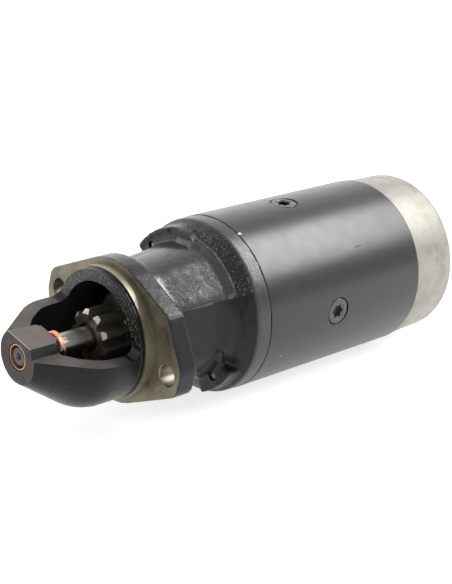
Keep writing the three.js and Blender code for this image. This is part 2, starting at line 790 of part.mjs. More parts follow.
add(
  'armature_shaft',
  turned(
    [
      [-NOSE_LENGTH + 1, 0],
      [-NOSE_LENGTH + 1, JOURNAL_R - 0.5],
      [-NOSE_LENGTH + 1.6, JOURNAL_R],
      [BOSS_REAR_X + GAP, JOURNAL_R],
      [BOSS_REAR_X + GAP + 1, SHAFT_R],
      [SPLINE_X0, SHAFT_R],
      [SPLINE_X0 + 1.5, SPLINE_R],
      [PLATE_FRONT_X - 6.5, SPLINE_R],
      [PLATE_FRONT_X - 6.5, CENTRE_JOURNAL_R],
      [CORE_SEAT_X, CENTRE_JOURNAL_R],
      [CORE_SEAT_X, CORE_SEAT_R],
      [COMMUTATOR_REAR_X, CORE_SEAT_R],
      [HUB_FRONT_X - 4, CORE_SEAT_R - 2],
      [HUB_FRONT_X - 1, JOURNAL_R],
      [COVER_REAR_X - 1, JOURNAL_R],
      [COVER_REAR_X - 1, 0],
    ],
    20,
  ),
  steel,
);

// The laminated core, with a slot for each pair of conductors.
function armatureCore() {
  const pitch = 360 / CORE_SLOTS;
  const outline = [];
  for (let i = 0; i < CORE_SLOTS; i++) {
    outline.push(...arc(CORE_R, i * pitch, (i + 0.72) * pitch, 2));
    outline.push(...arc(CORE_R - 8, (i + 0.76) * pitch, (i + 0.96) * pitch, 1));
  }
  return cut(
    along(CORE_FRONT_X, CORE_REAR_X, outline),
    rod(CORE_FRONT_X - 1, CORE_REAR_X + 1, CORE_SEAT_R + GAP, 20),
  );
}

add('armature_core', armatureCore(), darkSteel);
add(
  'winding_front',
  ring([
    [CORE_FRONT_X - GAP, CORE_SEAT_R + 3],
    [CORE_FRONT_X - 7, CORE_SEAT_R + 3],
    [CORE_FRONT_X - 7, WINDING_R - 3],
    [CORE_FRONT_X - GAP, WINDING_R],
  ]),
  copper,
);
add(
  'winding_rear',
  ring([
    [CORE_REAR_X + GAP, CORE_SEAT_R + 3],
    [CORE_REAR_X + GAP, WINDING_R],
    [COMMUTATOR_X - 4, WINDING_R - 5],
    [COMMUTATOR_X - GAP, COMMUTATOR_R + 1],
    [COMMUTATOR_X - GAP, CORE_SEAT_R + 3],
  ]),
  copper,
);
add(
  'commutator',
  ring([
    [COMMUTATOR_X, CORE_SEAT_R + GAP],
    [COMMUTATOR_X, COMMUTATOR_R + 2],
    [COMMUTATOR_X + 2.5, COMMUTATOR_R + 2],
    [COMMUTATOR_X + 2.5, COMMUTATOR_R],
    [COMMUTATOR_REAR_X - 0.5, COMMUTATOR_R],
    [COMMUTATOR_REAR_X - 0.5, CORE_SEAT_R + GAP],
  ]),
  copper,
);

// ---------------------------------------------------------------- pinion drive
const PINION_BUSH_R = SHAFT_R + GAP + 1.6;
const TAIL_R = 12.6;

// Straight teeth, thinner towards their tips.
function pinion() {
  const pitch = 360 / TEETH;
  const flankR = (PINION_ROOT_R + PINION_R) / 2;
  const outline = [];
  for (let i = 0; i < TEETH; i++) {
    const middle = i * pitch;
    outline.push(...arc(PINION_ROOT_R, middle - 0.46 * pitch, middle - 0.33 * pitch, 1));
    outline.push(polar(flankR, middle - 0.24 * pitch));
    outline.push(...arc(PINION_R, middle - 0.11 * pitch, middle + 0.11 * pitch, 1));
    outline.push(polar(flankR, middle + 0.24 * pitch));
    outline.push(...arc(PINION_ROOT_R, middle + 0.33 * pitch, middle + 0.46 * pitch, 1));
  }
  const toothRearX = PINION_FRONT_X + PINION_LENGTH;
  return cut(
    join(along(PINION_FRONT_X, toothRearX, outline), rod(toothRearX - 1, PINION_TAIL_X, TAIL_R, 24)),
    rod(PINION_FRONT_X - 1, PINION_TAIL_X + 1, PINION_BUSH_R + GAP, 20),
  );
}

add('pinion', pinion(), darkSteel);
add(
  'pinion_bush',
  tube(PINION_FRONT_X + 1, PINION_TAIL_X - 1, SHAFT_R + GAP, PINION_BUSH_R),
  bronze,
);
add(
  'clutch_shell',
  ring([
    [CLUTCH_FRONT_X, TAIL_R + GAP],
    [CLUTCH_FRONT_X, CLUTCH_R - 1.5],
    [CLUTCH_FRONT_X + 1.5, CLUTCH_R],
    [CLUTCH_REAR_X, CLUTCH_R],
    [CLUTCH_REAR_X, SPLINE_R + GAP + 1],
    [PINION_TAIL_X + 1, SPLINE_R + GAP + 1],
    [PINION_TAIL_X + 1, CLUTCH_R - 3.5],
    [CLUTCH_FRONT_X + 3, CLUTCH_R - 3.5],
    [CLUTCH_FRONT_X + 3, TAIL_R + GAP],
  ]),
  darkSteel,
);
add(
  'drive_sleeve',
  ring([
    [CLUTCH_REAR_X + GAP, SPLINE_R + GAP],
    [CLUTCH_REAR_X + GAP, SLEEVE_R + 4],
    [CLUTCH_REAR_X + 2, SLEEVE_R + 4],
    [CLUTCH_REAR_X + 2, SLEEVE_R - 1],
    [SLEEVE_REAR_X - 3, SLEEVE_R - 1],
    [SLEEVE_REAR_X - 3, SLEEVE_R - 2],
    [SLEEVE_REAR_X - 1.5, SLEEVE_R - 2],
    [SLEEVE_REAR_X - 1.5, SLEEVE_R - 1],
    [SLEEVE_REAR_X, SLEEVE_R - 1],
    [SLEEVE_REAR_X, SPLINE_R + GAP],
  ]),
  steel,
);

const RING_FRONT_X = RING_X - RING_GROOVE_WIDTH / 2 - RING_WALL;
const RING_REAR_X = RING_X + RING_GROOVE_WIDTH / 2 + RING_WALL;
add(
  'guide_ring',
  ring([
    [RING_FRONT_X, SLEEVE_R - 1 + GAP],
    [RING_FRONT_X, RING_R],
    [RING_FRONT_X + RING_WALL, RING_R],
    [RING_FRONT_X + RING_WALL, RING_GROOVE_R],
    [RING_REAR_X - RING_WALL, RING_GROOVE_R],
    [RING_REAR_X - RING_WALL, RING_R],
    [RING_REAR_X, RING_R],
    [RING_REAR_X, SLEEVE_R - 1 + GAP],
  ]),
  darkSteel,
);
add(
  'sleeve_circlip',
  cut(
    tube(SLEEVE_REAR_X - 2.7, SLEEVE_REAR_X - 1.8, SLEEVE_R - 2 + GAP, SLEEVE_R + 1.2),
    block(SLEEVE_REAR_X - 4, SLEEVE_REAR_X, -2, 2, 0, SLEEVE_R + 5),
  ),
  steel,
);
add(
  'engagement_spring',
  coil(CLUTCH_REAR_X + 2 + GAP, RING_FRONT_X - GAP, SLEEVE_R + 1.2, 1.1, 3),
  steel,
);

// ---------------------------------------------------------------- lever
// The lever's upper arm leans back, so that its tip sits in the plunger's slot.
const LEVER_TIP_R = 4;
const LEVER_CRANK = radians(25);
const tipAngle = LEVER_CRANK - LEVER_SWING / 2;
const UPPER_ARM = (SOLENOID_D + LEVER_TIP_RISE - PIVOT_DISTANCE) / Math.cos(tipAngle);
const TIP_X = PIVOT_X + UPPER_ARM * Math.sin(tipAngle);
const TIP_D = PIVOT_DISTANCE + UPPER_ARM * Math.cos(tipAngle);
const FORK_PAD_R = RING_GROOVE_WIDTH / 2 - 0.6;

function disc(x, distance, radius, y0, y1, segments = 12) {
  return rod(y0, y1, radius, segments).rotateZ(Math.PI / 2).translate(x, 0, distance);
}

// A flat bar between two points of the [x, distance] plane, with a half width at each.
function bar([x0, d0, half0], [x1, d1, half1], halfThickness) {
  const length = Math.hypot(x1 - x0, d1 - d0);
  const nx = -(d1 - d0) / length;
  const nd = (x1 - x0) / length;
  return across(halfThickness, [
    [x0 + nx * half0, d0 + nd * half0],
    [x1 + nx * half1, d1 + nd * half1],
    [x1 - nx * half1, d1 - nd * half1],
    [x0 - nx * half0, d0 - nd * half0],
  ]);
}

function shiftLever() {
  const half = LEVER_THICKNESS / 2;
  const forkInner = RING_R + 0.6;
  const forkOuter = forkInner + 3;
  const bridgeTop = 28;
  const bridgeBottom = 21.5;
  const atHeight = (distance) =>
    PIVOT_X + ((RING_X - PIVOT_X) * (PIVOT_DISTANCE - distance)) / PIVOT_DISTANCE;
  const upper = bar([PIVOT_X, PIVOT_DISTANCE, 6], [TIP_X, TIP_D, 2.2], half);
  const stem = bar(
    [PIVOT_X, PIVOT_DISTANCE, 6],
    [atHeight(bridgeBottom + 2), bridgeBottom + 2, 5],
    half,
  );
  const bridge = bar(
    [atHeight(bridgeTop), bridgeTop, 5],
    [atHeight(bridgeBottom), bridgeBottom, 5],
    forkOuter,
  );
  const arms = [-1, 1].map((side) =>
    bar([atHeight(bridgeBottom + 1), bridgeBottom + 1, 4], [RING_X, 0, 3.4], 1.5)
      .translate(0, (side * (forkInner + forkOuter)) / 2, 0),
  );
  const pads = [-1, 1].map((side) => {
    const y0 = side > 0 ? RING_GROOVE_R + 0.8 : -forkOuter;
    const y1 = side > 0 ? forkOuter : -RING_GROOVE_R - 0.8;
    return disc(RING_X, 0, FORK_PAD_R, y0, y1, 12);
  });
  return cut(
    join(
      upper,
      stem,
      bridge,
      ...arms,
      ...pads,
      disc(PIVOT_X, PIVOT_DISTANCE, 7.5, -half - 2, half + 2),
      disc(TIP_X, TIP_D, LEVER_TIP_R, -half, half),
    ),
    disc(PIVOT_X, PIVOT_DISTANCE, PIVOT_PIN_R + GAP, -20, 20),
  );
}

add('shift_lever', shiftLever(), darkSteel, solenoidFrame);
add(
  'lever_pivot_pin',
  join(
    disc(PIVOT_X, PIVOT_DISTANCE, PIVOT_PIN_R, -TOWER_HALF_WIDTH - 1, TOWER_HALF_WIDTH + 1),
    disc(PIVOT_X, PIVOT_DISTANCE, PIVOT_PIN_R + 2, TOWER_HALF_WIDTH + GAP, TOWER_HALF_WIDTH + 3),
  ),
  steel,
  solenoidFrame,
);

// ---------------------------------------------------------------- solenoid
const SLOT_HALF_X = LEVER_TIP_R + 0.5;
const SEAT_FLANGE_X = TIP_X + SLOT_HALF_X + 7;
const PLUNGER_REAR_X = SOLENOID_X + 20;
const CORE_FACE_X = PLUNGER_REAR_X + PLUNGER_TRAVEL + GAP;
const DISC_X = CORE_FACE_X + 20;
const COIL_REAR_X = CORE_FACE_X + 8;

function solenoidPlunger() {
  const nose = block(TIP_X - SLOT_HALF_X - 3.5, SEAT_FLANGE_X + 1, -6.8, 6.8, -4.5, 6.5);
  const slot = block(
    TIP_X - SLOT_HALF_X - 1, TIP_X + SLOT_HALF_X,
    -LEVER_THICKNESS / 2 - 0.6, LEVER_THICKNESS / 2 + 0.6,
    -20, 20,
  );
  const body = turned(
    [
      [SEAT_FLANGE_X, 0],
      [SEAT_FLANGE_X, PLUNGER_R + 3.6],
      [SEAT_FLANGE_X + 2, PLUNGER_R + 3.6],
      [SEAT_FLANGE_X + 2, PLUNGER_R],
      [PLUNGER_REAR_X, PLUNGER_R],
      [PLUNGER_REAR_X, CONTACT_ROD_R],
      [DISC_X + 4, CONTACT_ROD_R],
      [DISC_X + 4, 0],
    ],
    24,
  );
  return shiftUp(SOLENOID_D, join(cut(nose, slot), body));
}

add('solenoid_plunger', solenoidPlunger(), steel, solenoidFrame);
add(
  'plunger_return_spring',
  shiftUp(
    SOLENOID_D,
    coil(SEAT_FLANGE_X + 2 + GAP, SOLENOID_X - GAP, PLUNGER_R + 1.7, 0.8, 4),
  ),
  steel,
  solenoidFrame,
);
add(
  'contact_disc',
  shiftUp(SOLENOID_D, tube(DISC_X, DISC_X + 2.5, CONTACT_ROD_R + GAP, 14)),
  copper,
  solenoidFrame,
);

function seatScrews(x0, x1, radius) {
  return [-1, 1].map((side) =>
    rod(x0, x1, radius).translate(0, side * SEAT_SCREW_OFFSET, 0),
  );
}

add(
  'solenoid_case',
  shiftUp(
    SOLENOID_D,
    cut(
      join(
        rod(SOLENOID_X, SOLENOID_REAR_X, SOLENOID_R, 36),
        rod(SOLENOID_X, SOLENOID_X + 4, SEAT_R, 36),
      ),
      rod(SOLENOID_X - 1, SOLENOID_X + 6, PLUNGER_R + GAP, 24),
      rod(SOLENOID_X + 4, SOLENOID_REAR_X + 1, SOLENOID_R - SOLENOID_WALL, 36),
      ...seatScrews(SOLENOID_X - 1, SOLENOID_X + 6, SEAT_SCREW_R + GAP),
    ),
  ),
  plated,
  solenoidFrame,
);
add(
  'solenoid_coil',
  shiftUp(
    SOLENOID_D,
    tube(SOLENOID_X + 8, COIL_REAR_X, PLUNGER_R + GAP, SOLENOID_R - SOLENOID_WALL - GAP),
  ),
  copper,
  solenoidFrame,
);
add(
  'solenoid_core',
  shiftUp(
    SOLENOID_D,
    ring([
      [CORE_FACE_X, CONTACT_ROD_R + GAP],
      [CORE_FACE_X, PLUNGER_R],
      [COIL_REAR_X + GAP, PLUNGER_R],
      [COIL_REAR_X + GAP, SOLENOID_R - SOLENOID_WALL - GAP],
      [DISC_X - 2, SOLENOID_R - SOLENOID_WALL - GAP],
      [DISC_X - 2, CONTACT_ROD_R + GAP],
    ]),
  ),
  steel,
  solenoidFrame,
);

// Studs stand on the solenoid's axis plane: the motor stud nearest the yoke.
const CAP_X = SOLENOID_REAR_X + GAP;
const CAP_LENGTH = 20;
const STUD_HEAD_X = CAP_X + 5;
const STUD_END_X = CAP_X + CAP_LENGTH + 18;
const STUD_OFFSET = 13;
const SWITCH_R = 2.5;
const SWITCH_OFFSET = SOLENOID_R - 13.5;

add(
  'terminal_cap',
  shiftUp(
    SOLENOID_D,
    cut(
      turned([
        [CAP_X, 0],
        [CAP_X, SOLENOID_R - 1.5],
        [CAP_X + 9, SOLENOID_R - 1.5],
        [CAP_X + 12, SOLENOID_R - 4],
        [CAP_X + CAP_LENGTH, SOLENOID_R - 6],
        [CAP_X + CAP_LENGTH, 0],
      ]),
      rod(CAP_X - 1, STUD_HEAD_X + 2.5, 20, 20),
      rod(0, STUD_END_X, STUD_R + GAP).translate(0, 0, STUD_OFFSET),
      rod(0, STUD_END_X, STUD_R + GAP).translate(0, 0, -STUD_OFFSET),
      rod(0, STUD_END_X, SWITCH_R + GAP, 12).translate(0, SWITCH_OFFSET, 0),
    ),
  ),
  bakelite,
  solenoidFrame,
);

function stud(offset) {
  return join(
    rod(STUD_HEAD_X, STUD_END_X, STUD_R),
    rod(STUD_HEAD_X, STUD_HEAD_X + 2.2, 5.5),
  ).translate(0, 0, SOLENOID_D + offset);
}

function studNut(offset) {
  const x0 = CAP_X + CAP_LENGTH + GAP;
  return cut(
    hexagon(x0, x0 + 6, NUT_FLATS),
    rod(x0 - 1, x0 + 7, STUD_R + GAP),
  ).translate(0, 0, SOLENOID_D + offset);
}

add('battery_terminal', stud(STUD_OFFSET), steel, solenoidFrame);
add('motor_terminal', stud(-STUD_OFFSET), steel, solenoidFrame);
add('battery_nut', studNut(STUD_OFFSET), plated, solenoidFrame);
add('motor_nut', studNut(-STUD_OFFSET), plated, solenoidFrame);
add(
  'switch_terminal',
  rod(CAP_X + 8, CAP_X + CAP_LENGTH + 9, SWITCH_R, 12).translate(0, SWITCH_OFFSET, SOLENOID_D),
  plated,
  solenoidFrame,
);

[-1, 1].forEach((side, index) => {
  const headX = HOUSING_REAR_X - SEAT_THICKNESS - GAP;
  const screw = join(
    rod(headX - 4, headX, 4.4),
    rod(headX - 1, SOLENOID_X + 3, SEAT_SCREW_R),
  ).translate(0, side * SEAT_SCREW_OFFSET, SOLENOID_D);
  add(`solenoid_screw_${index + 1}`, screw, plated, solenoidFrame);
});

// ---------------------------------------------------------------- motor lead
// From the motor stud, behind its nut, along the yoke and in through a grommet.
function motorLead() {
  const eyeX = CAP_X + CAP_LENGTH + 6 + 2 * GAP;
  const studD = SOLENOID_D - STUD_OFFSET;
  const eye = tube(eyeX, eyeX + 2, STUD_R + GAP, 8, 16).translate(0, 0, studD);
  const route = new THREE.CatmullRomCurve3([
    new THREE.Vector3(eyeX + 1, 0, studD - 6),
    new THREE.Vector3(eyeX + 5, 0, studD - 10),
    new THREE.Vector3(eyeX + 12, 0, YOKE_R + 6.5),
    new THREE.Vector3(GROMMET_X - 5, 0, YOKE_R + 7),
    new THREE.Vector3(GROMMET_X - 0.4, 0, YOKE_R + 4.5),
    new THREE.Vector3(GROMMET_X, 0, YOKE_R + 1),
    new THREE.Vector3(GROMMET_X, 0, YOKE_BORE_R + 2),
    new THREE.Vector3(GROMMET_X, 0, YOKE_BORE_R - 4),
  ]);
  const section = new THREE.Shape().absarc(0, 0, LEAD_R, 0, 2 * Math.PI);
  const lead = new THREE.ExtrudeGeometry(section, {
    extrudePath: route,
    steps: 14,
    curveSegments: 2,
    bevelEnabled: false,
  });
  return join(eye, lead);
}

add('motor_lead', motorLead(), copper, solenoidFrame);
add(
  'lead_grommet',
  radial(
    GROMMET_X,
    SOLENOID_ANGLE,
    ring(
      [
        [YOKE_BORE_R - 1, LEAD_R + 2 * GAP],
        [YOKE_BORE_R - 1, GROMMET_R],
        [YOKE_R + GAP, GROMMET_R],
        [YOKE_R + GAP, GROMMET_R + 2.4],
        [YOKE_R + 2, GROMMET_R + 1.8],
        [YOKE_R + 2, LEAD_R + 2 * GAP],
      ],
      14,
    ),
  ),
  rubber,
);

export default starter;
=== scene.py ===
"""The starter motor's looks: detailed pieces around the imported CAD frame, materials, light and camera.

Shapes are drawn in millimetres in the part's own frame and made in metres. The X axis is the shaft,
from the nose to the rear cover, and angles about it run from +Z towards +Y.
"""

import json
import math

import bmesh
import bpy
from mathutils import Matrix, Vector, noise


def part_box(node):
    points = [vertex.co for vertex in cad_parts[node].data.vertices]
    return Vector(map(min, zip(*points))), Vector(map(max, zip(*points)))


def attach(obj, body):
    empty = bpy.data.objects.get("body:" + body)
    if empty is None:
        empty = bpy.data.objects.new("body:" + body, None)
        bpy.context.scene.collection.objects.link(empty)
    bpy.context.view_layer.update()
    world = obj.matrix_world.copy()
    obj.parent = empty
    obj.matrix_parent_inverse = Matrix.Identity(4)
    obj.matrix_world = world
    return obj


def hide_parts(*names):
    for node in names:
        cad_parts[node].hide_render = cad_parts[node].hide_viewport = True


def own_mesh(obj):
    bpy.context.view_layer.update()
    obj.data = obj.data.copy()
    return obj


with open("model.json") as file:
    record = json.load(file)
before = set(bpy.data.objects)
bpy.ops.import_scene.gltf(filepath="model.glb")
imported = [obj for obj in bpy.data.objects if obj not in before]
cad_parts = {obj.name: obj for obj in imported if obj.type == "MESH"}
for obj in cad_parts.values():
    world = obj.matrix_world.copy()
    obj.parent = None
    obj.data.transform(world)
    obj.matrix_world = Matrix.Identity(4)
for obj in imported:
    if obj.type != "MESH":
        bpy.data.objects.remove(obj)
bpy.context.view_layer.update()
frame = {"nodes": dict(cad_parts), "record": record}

MM = 0.001
GAP = 0.3  # between pieces that touch, as in the CAD model
THROUGH = 2.0  # how far a cutter runs past the face that it opens

# Angles about the shaft, in degrees
GEAR_ANGLE = -16.0  # the side that faces the engine's ring gear
SOLENOID_ANGLE = 108.3
POLE_ANGLES = [-6.0, 84.0, 174.0, 264.0]
LUG_ANGLES = [38.1, -142.1]  # through bolts
PAINT_MARKS = [  # x, angle, half sizes, colour: a scratch and two chips
    (169, -58, (3.8, 0.8, 0.8), (0.001, 0.001, 0.001)),
    (82.6, -27.5, (1.9, 1.1, 1.1), (0.6, 0.59, 0.55)),
    (96, -118, (0.7, 0.7, 0.7), (0.3, 0.29, 0.27)),
]
SMOOTH_SECTOR = (-112.0, -68.0)  # of the neck, which is flat and smooth
RIDGE_ANGLES = (-66.0, -6.0)


def span(node):
    """The lowest and highest corner of a CAD node, in millimetres."""
    low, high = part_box(node)
    return low / MM, high / MM


# ---------------------------------------------------------------- places taken from the frame
HOUSING_REAR_X = span("yoke")[0].x - GAP
YOKE_X = span("yoke")[0].x
YOKE_REAR_X = span("yoke")[1].x
YOKE_R = (span("yoke")[1].z - span("yoke")[0].z) / 2
COVER_X = span("rear_cover")[0].x
COVER_REAR_X = span("rear_cover")[1].x
NOSE_X = span("drive_end_housing")[0].x
BUSH_X = span("nose_bush")[0].x
BOSS_REAR_X = span("nose_bush")[1].x
BUSH_R = span("nose_bush")[1].z
PINION_X = span("pinion")[0].x
PINION_TAIL_X = span("pinion")[1].x
CLUTCH_X = span("clutch_shell")[0].x
CLUTCH_REAR_X = span("clutch_shell")[1].x
CLUTCH_R = span("clutch_shell")[1].z
SOLENOID_X = span("solenoid_case")[0].x
SOLENOID_REAR_X = span("solenoid_case")[1].x
CAP_X = span("terminal_cap")[0].x
CAP_REAR_X = span("terminal_cap")[1].x
PIVOT_X = (span("lever_pivot_pin")[0].x + span("lever_pivot_pin")[1].x) / 2
GROMMET_X = (span("lead_grommet")[0].x + span("lead_grommet")[1].x) / 2
FLOOR_Z = -YOKE_R * MM

# ---------------------------------------------------------------- sizes
FLANGE_THICKNESS = 13.0
FLANGE_R = 46.0
FLANGE_HOLE_PCD = 107.8
FLANGE_HOLE_R = 6.5
PILOT_R = 42.05
PILOT_LENGTH = 7.0
NOSE_TIP_R = 16.6
NOSE_R = 40.7
NOSE_CONE_ANGLE = 35.0
NOSE_CONE_ROUND = 31.0
NOSE_FOOT_LENGTH = 1.6  # a steeper rim round the tip, before the cone starts
BOSS_REAR_R = 15.0
FLAT_REAR_X = -48.0
FLAT_HEIGHT = 11.4
RIM_HEIGHT = 5.8
WINDOW_REAR_X = -10.5
WINDOW_CORNER_R = 6.0
NOSE_BORE_R = 33.3
NECK_FRONT_R = 40.8
NECK_REAR_R = 45.0
NECK_BORE_R = 37.0
SHOULDER_X = 62.5
LUG_FRONT_X = 57.2
LUG_R = 54.0
BAND_X = 70.4
BOLT_CIRCLE_R = 46.5
BOLT_R = 2.85
YOKE_BORE_R = 50.5
SOLENOID_R = 29.5
SOLENOID_D = 89.0
PLUNGER_R = 11.2
PIVOT_DISTANCE = 56.0
JOURNAL_R = 5.95
SHAFT_R = 7.0
SPLINE_R = 8.5
PLUNGER_SPACE_R = 15.5
SEAT_THICKNESS = 8.0
SEAT_SCREW_OFFSET = 23.5
STUD_OFFSET = 13.0
STUD_R = 4.0
NUT_FLATS = 13.0
SWITCH_OFFSET = 16.0
SWITCH_R = 2.5
CAST_VOXEL = 1.15  # the grain of the housing's skin
MACHINING_STOCK = 0.8
TOUCH = 0.03  # how near a face's middle is to a machined plane when it lies in it


# ---------------------------------------------------------------- outlines
def polar(radius, angle):
    """A point about the shaft, as (y, z)."""
    return (radius * math.sin(math.radians(angle)), radius * math.cos(math.radians(angle)))


def arc(radius, start, end, steps):
    """Points about the shaft from one angle to another."""
    return [polar(radius, start + (end - start) * i / steps) for i in range(steps + 1)]


def rounded(corners, steps=6, closed=False):
    """Replaces each corner (a, b, radius) by an arc of that radius, where it has one."""
    outline = []
    count = len(corners)
    for i, corner in enumerate(corners):
        here = Vector(corner[:2])
        radius = corner[2] if len(corner) > 2 else 0
        if not radius or (not closed and i in (0, count - 1)):
            outline.append(tuple(here))
            continue
        back = (Vector(corners[i - 1][:2]) - here).normalized()
        on = (Vector(corners[(i + 1) % count][:2]) - here).normalized()
        half = back.angle(on) / 2
        centre = here + (back + on).normalized() * radius / math.sin(half)
        start = here + back * radius / math.tan(half) - centre
        end = here + on * radius / math.tan(half) - centre
        sweep = math.atan2(start.x * end.y - start.y * end.x, start.dot(end))
        for k in range(steps + 1):
            turn = Matrix.Rotation(sweep * k / steps, 2)
            outline.append(tuple(centre + turn @ start))
    return outline


# ---------------------------------------------------------------- meshes
def make(name, points, faces, smooth=True):
    """A mesh object from points in millimetres, with its faces turned outwards."""
    mesh = bpy.data.meshes.new(name)
    mesh.from_pydata([tuple(c * MM for c in p) for p in points], [], faces)
    mesh.validate()
    obj = bpy.data.objects.new(name, mesh)
    bpy.context.scene.collection.objects.link(obj)
    face_out(obj)
    if smooth:
        shade(obj)
    return obj


def face_out(obj):
    """Merges doubled points and turns every face outwards."""
    work = bmesh.new()
    work.from_mesh(obj.data)
    bmesh.ops.remove_doubles(work, verts=work.verts, dist=1e-7)
    bmesh.ops.recalc_face_normals(work, faces=work.faces)
    if work.calc_volume(signed=True) < 0:
        bmesh.ops.reverse_faces(work, faces=work.faces)
    work.to_mesh(obj.data)
    work.free()


def shade(obj, angle=32.0):
    """Smooth shading, with edges sharper than angle left sharp."""
    obj.data.shade_smooth()
    obj.data.set_sharp_from_angle(angle=math.radians(angle))


def lathe(name, profile, segments=96, closed=False):
    """Turns a profile of (x, radius) about the X axis. An open one starts and ends on the axis."""
    points, rings = [], []
    for x, r in profile:
        if r < 1e-6:
            rings.append([len(points)])
            points.append((x, 0, 0))
            continue
        rings.append(list(range(len(points), len(points) + segments)))
        for k in range(segments):
            y, z = polar(r, 360 * k / segments)
            points.append((x, y, z))
    faces = []
    pairs = list(zip(rings, rings[1:] + rings[:1])) if closed else list(zip(rings, rings[1:]))
    for a, b in pairs:
        for k in range(segments):
            n = (k + 1) % segments
            if len(a) > 1 and len(b) > 1:
                faces.append((a[k], a[n], b[n], b[k]))
            elif len(a) > 1:
                faces.append((a[k], a[n], b[0]))
            elif len(b) > 1:
                faces.append((a[0], b[n], b[k]))
    return make(name, points, faces)


def rod(name, x0, x1, radius, segments=64, edge=0.0):
    if not edge:
        return lathe(name, [(x0, 0), (x0, radius), (x1, radius), (x1, 0)], segments)
    return lathe(name, [(x0, 0), (x0, radius - edge), (x0 + edge, radius), (x1 - edge, radius),
                        (x1, radius - edge), (x1, 0)], segments)


def tube(name, x0, x1, inner, outer, segments=96, edge=0.25):
    e = edge
    return lathe(name, [(x0 + e, inner), (x0, inner + e), (x0, outer - e), (x0 + e, outer),
                        (x1 - e, outer), (x1, outer - e), (x1, inner + e), (x1 - e, inner)],
                 segments, closed=True)


def along(name, x0, x1, outline):
    """An outline of (y, z) points drawn out along X."""
    count = len(outline)
    points = [(x, y, z) for x in (x0, x1) for y, z in outline]
    faces = [tuple(range(count)), tuple(range(2 * count - 1, count - 1, -1))]
    faces += [(i, (i + 1) % count, count + (i + 1) % count, count + i) for i in range(count)]
    return make(name, points, faces)


def across(name, half, outline):
    """An outline of (x, z) points drawn out to half on both sides in Y."""
    count = len(outline)
    points = [(x, y, z) for y in (-half, half) for x, z in outline]
    faces = [tuple(range(count)), tuple(range(2 * count - 1, count - 1, -1))]
    faces += [(i, (i + 1) % count, count + (i + 1) % count, count + i) for i in range(count)]
    return make(name, points, faces)


def skin(name, rows):
    """Joins each closed row of points to the next, and closes both ends."""
    count, last = len(rows[0]), len(rows) - 1
    faces = []
    for k in range(last):
        for i in range(count):
            n = (i + 1) % count
            faces.append((k * count + i, k * count + n, (k + 1) * count + n, (k + 1) * count + i))
    faces.append(tuple(range(count)))
    faces.append(tuple(range(last * count, (last + 1) * count)))
    return make(name, [point for row in rows for point in row], faces)


def partial_ring(name, profile, start, end, steps=24):
    """A closed (x, radius) profile swept about the shaft from one angle to another."""
    angles = [start + (end - start) * k / steps for k in range(steps + 1)]
    return skin(name, [[(x, *polar(r, angle)) for x, r in profile] for angle in angles])


def sweep(name, path, radius, sides=20, up=(0, 1, 0)):
    """A round tube along a path of points, with flat ends. The path never runs along up."""
    rows = []
    for i, p in enumerate(path):
        tangent = (path[min(len(path) - 1, i + 1)] - path[max(0, i - 1)]).normalized()
        one = Vector(up).cross(tangent).normalized()
        two = tangent.cross(one)
        turns = [2 * math.pi * k / sides for k in range(sides)]
        rows.append([tuple(p + radius * (math.cos(a) * one + math.sin(a) * two)) for a in turns])
    return skin(name, rows)


def block(name, x0, x1, y0, y1, z0, z1):
    return along(name, x0, x1, [(y0, z0), (y1, z0), (y1, z1), (y0, z1)])


def move(obj, x=0.0, y=0.0, z=0.0):
    obj.data.transform(Matrix.Translation(Vector((x, y, z)) * MM))
    return obj


def turn(obj, angle):
    """Turns what was made on the +Z side of the shaft to an angle from +Z towards +Y."""
    obj.data.transform(Matrix.Rotation(-math.radians(angle), 4, "X"))
    return obj


def radial(obj, x, angle):
    """Stands a piece turned about X on a radius of the shaft, at x."""
    obj.data.transform(Matrix.Rotation(-math.pi / 2, 4, "Y"))
    return turn(move(obj, x=x), angle)


def on_solenoid(obj, lift=SOLENOID_D):
    return turn(move(obj, z=lift), SOLENOID_ANGLE)


# ---------------------------------------------------------------- joins, cuts and surfaces
def bake_modifiers(obj):
    """Turns the modifiers' result into the object's mesh."""
    graph = bpy.context.evaluated_depsgraph_get()
    made = bpy.data.meshes.new_from_object(obj.evaluated_get(graph))
    obj.modifiers.clear()
    old = obj.data
    obj.data = made
    bpy.data.meshes.remove(old)
    return obj


def combine(obj, operation, others):
    for other in others:
        step = obj.modifiers.new("step", "BOOLEAN")
        step.operation = operation
        step.object = other
        step.solver = "MANIFOLD"
        bake_modifiers(obj)
        bpy.data.objects.remove(other)
    return obj


def join(obj, *others):
    return combine(obj, "UNION", others)


def cut(obj, *others):
    return combine(obj, "DIFFERENCE", others)


def keep_common(obj, *others):
    return combine(obj, "INTERSECT", others)


def bevel(obj, width, segments=2, angle=30.0):
    step = obj.modifiers.new("edge", "BEVEL")
    step.width = width * MM
    step.segments = segments
    step.limit_method = "ANGLE"
    step.angle_limit = math.radians(angle)
    step.use_clamp_overlap = True
    bake_modifiers(obj)
    shade(obj, 40.0)
    return obj


def cast(obj, voxel, rounds):
    """Gives a sharp solid the rounded edges and corners of a casting."""
    step = obj.modifiers.new("skin", "REMESH")
    step.mode = "VOXEL"
    step.voxel_size = voxel * MM
    step = obj.modifiers.new("soften", "SMOOTH")
    step.factor = 0.5
    step.iterations = rounds
    return bake_modifiers(obj)


def roughen(obj, depth, size):
    """Moves each point along its normal by noise. depth(point) is in millimetres."""
    mesh = obj.data
    moved = []
    for v in mesh.vertices:
        point = v.co / MM
        wave = noise.noise(point / size) + 0.5 * noise.noise(point * 2.3 / size)
        moved.append(v.co + v.normal * depth(point) * wave * MM)
    for v, place in zip(mesh.vertices, moved):
        v.co = place
    mesh.update()
    return obj


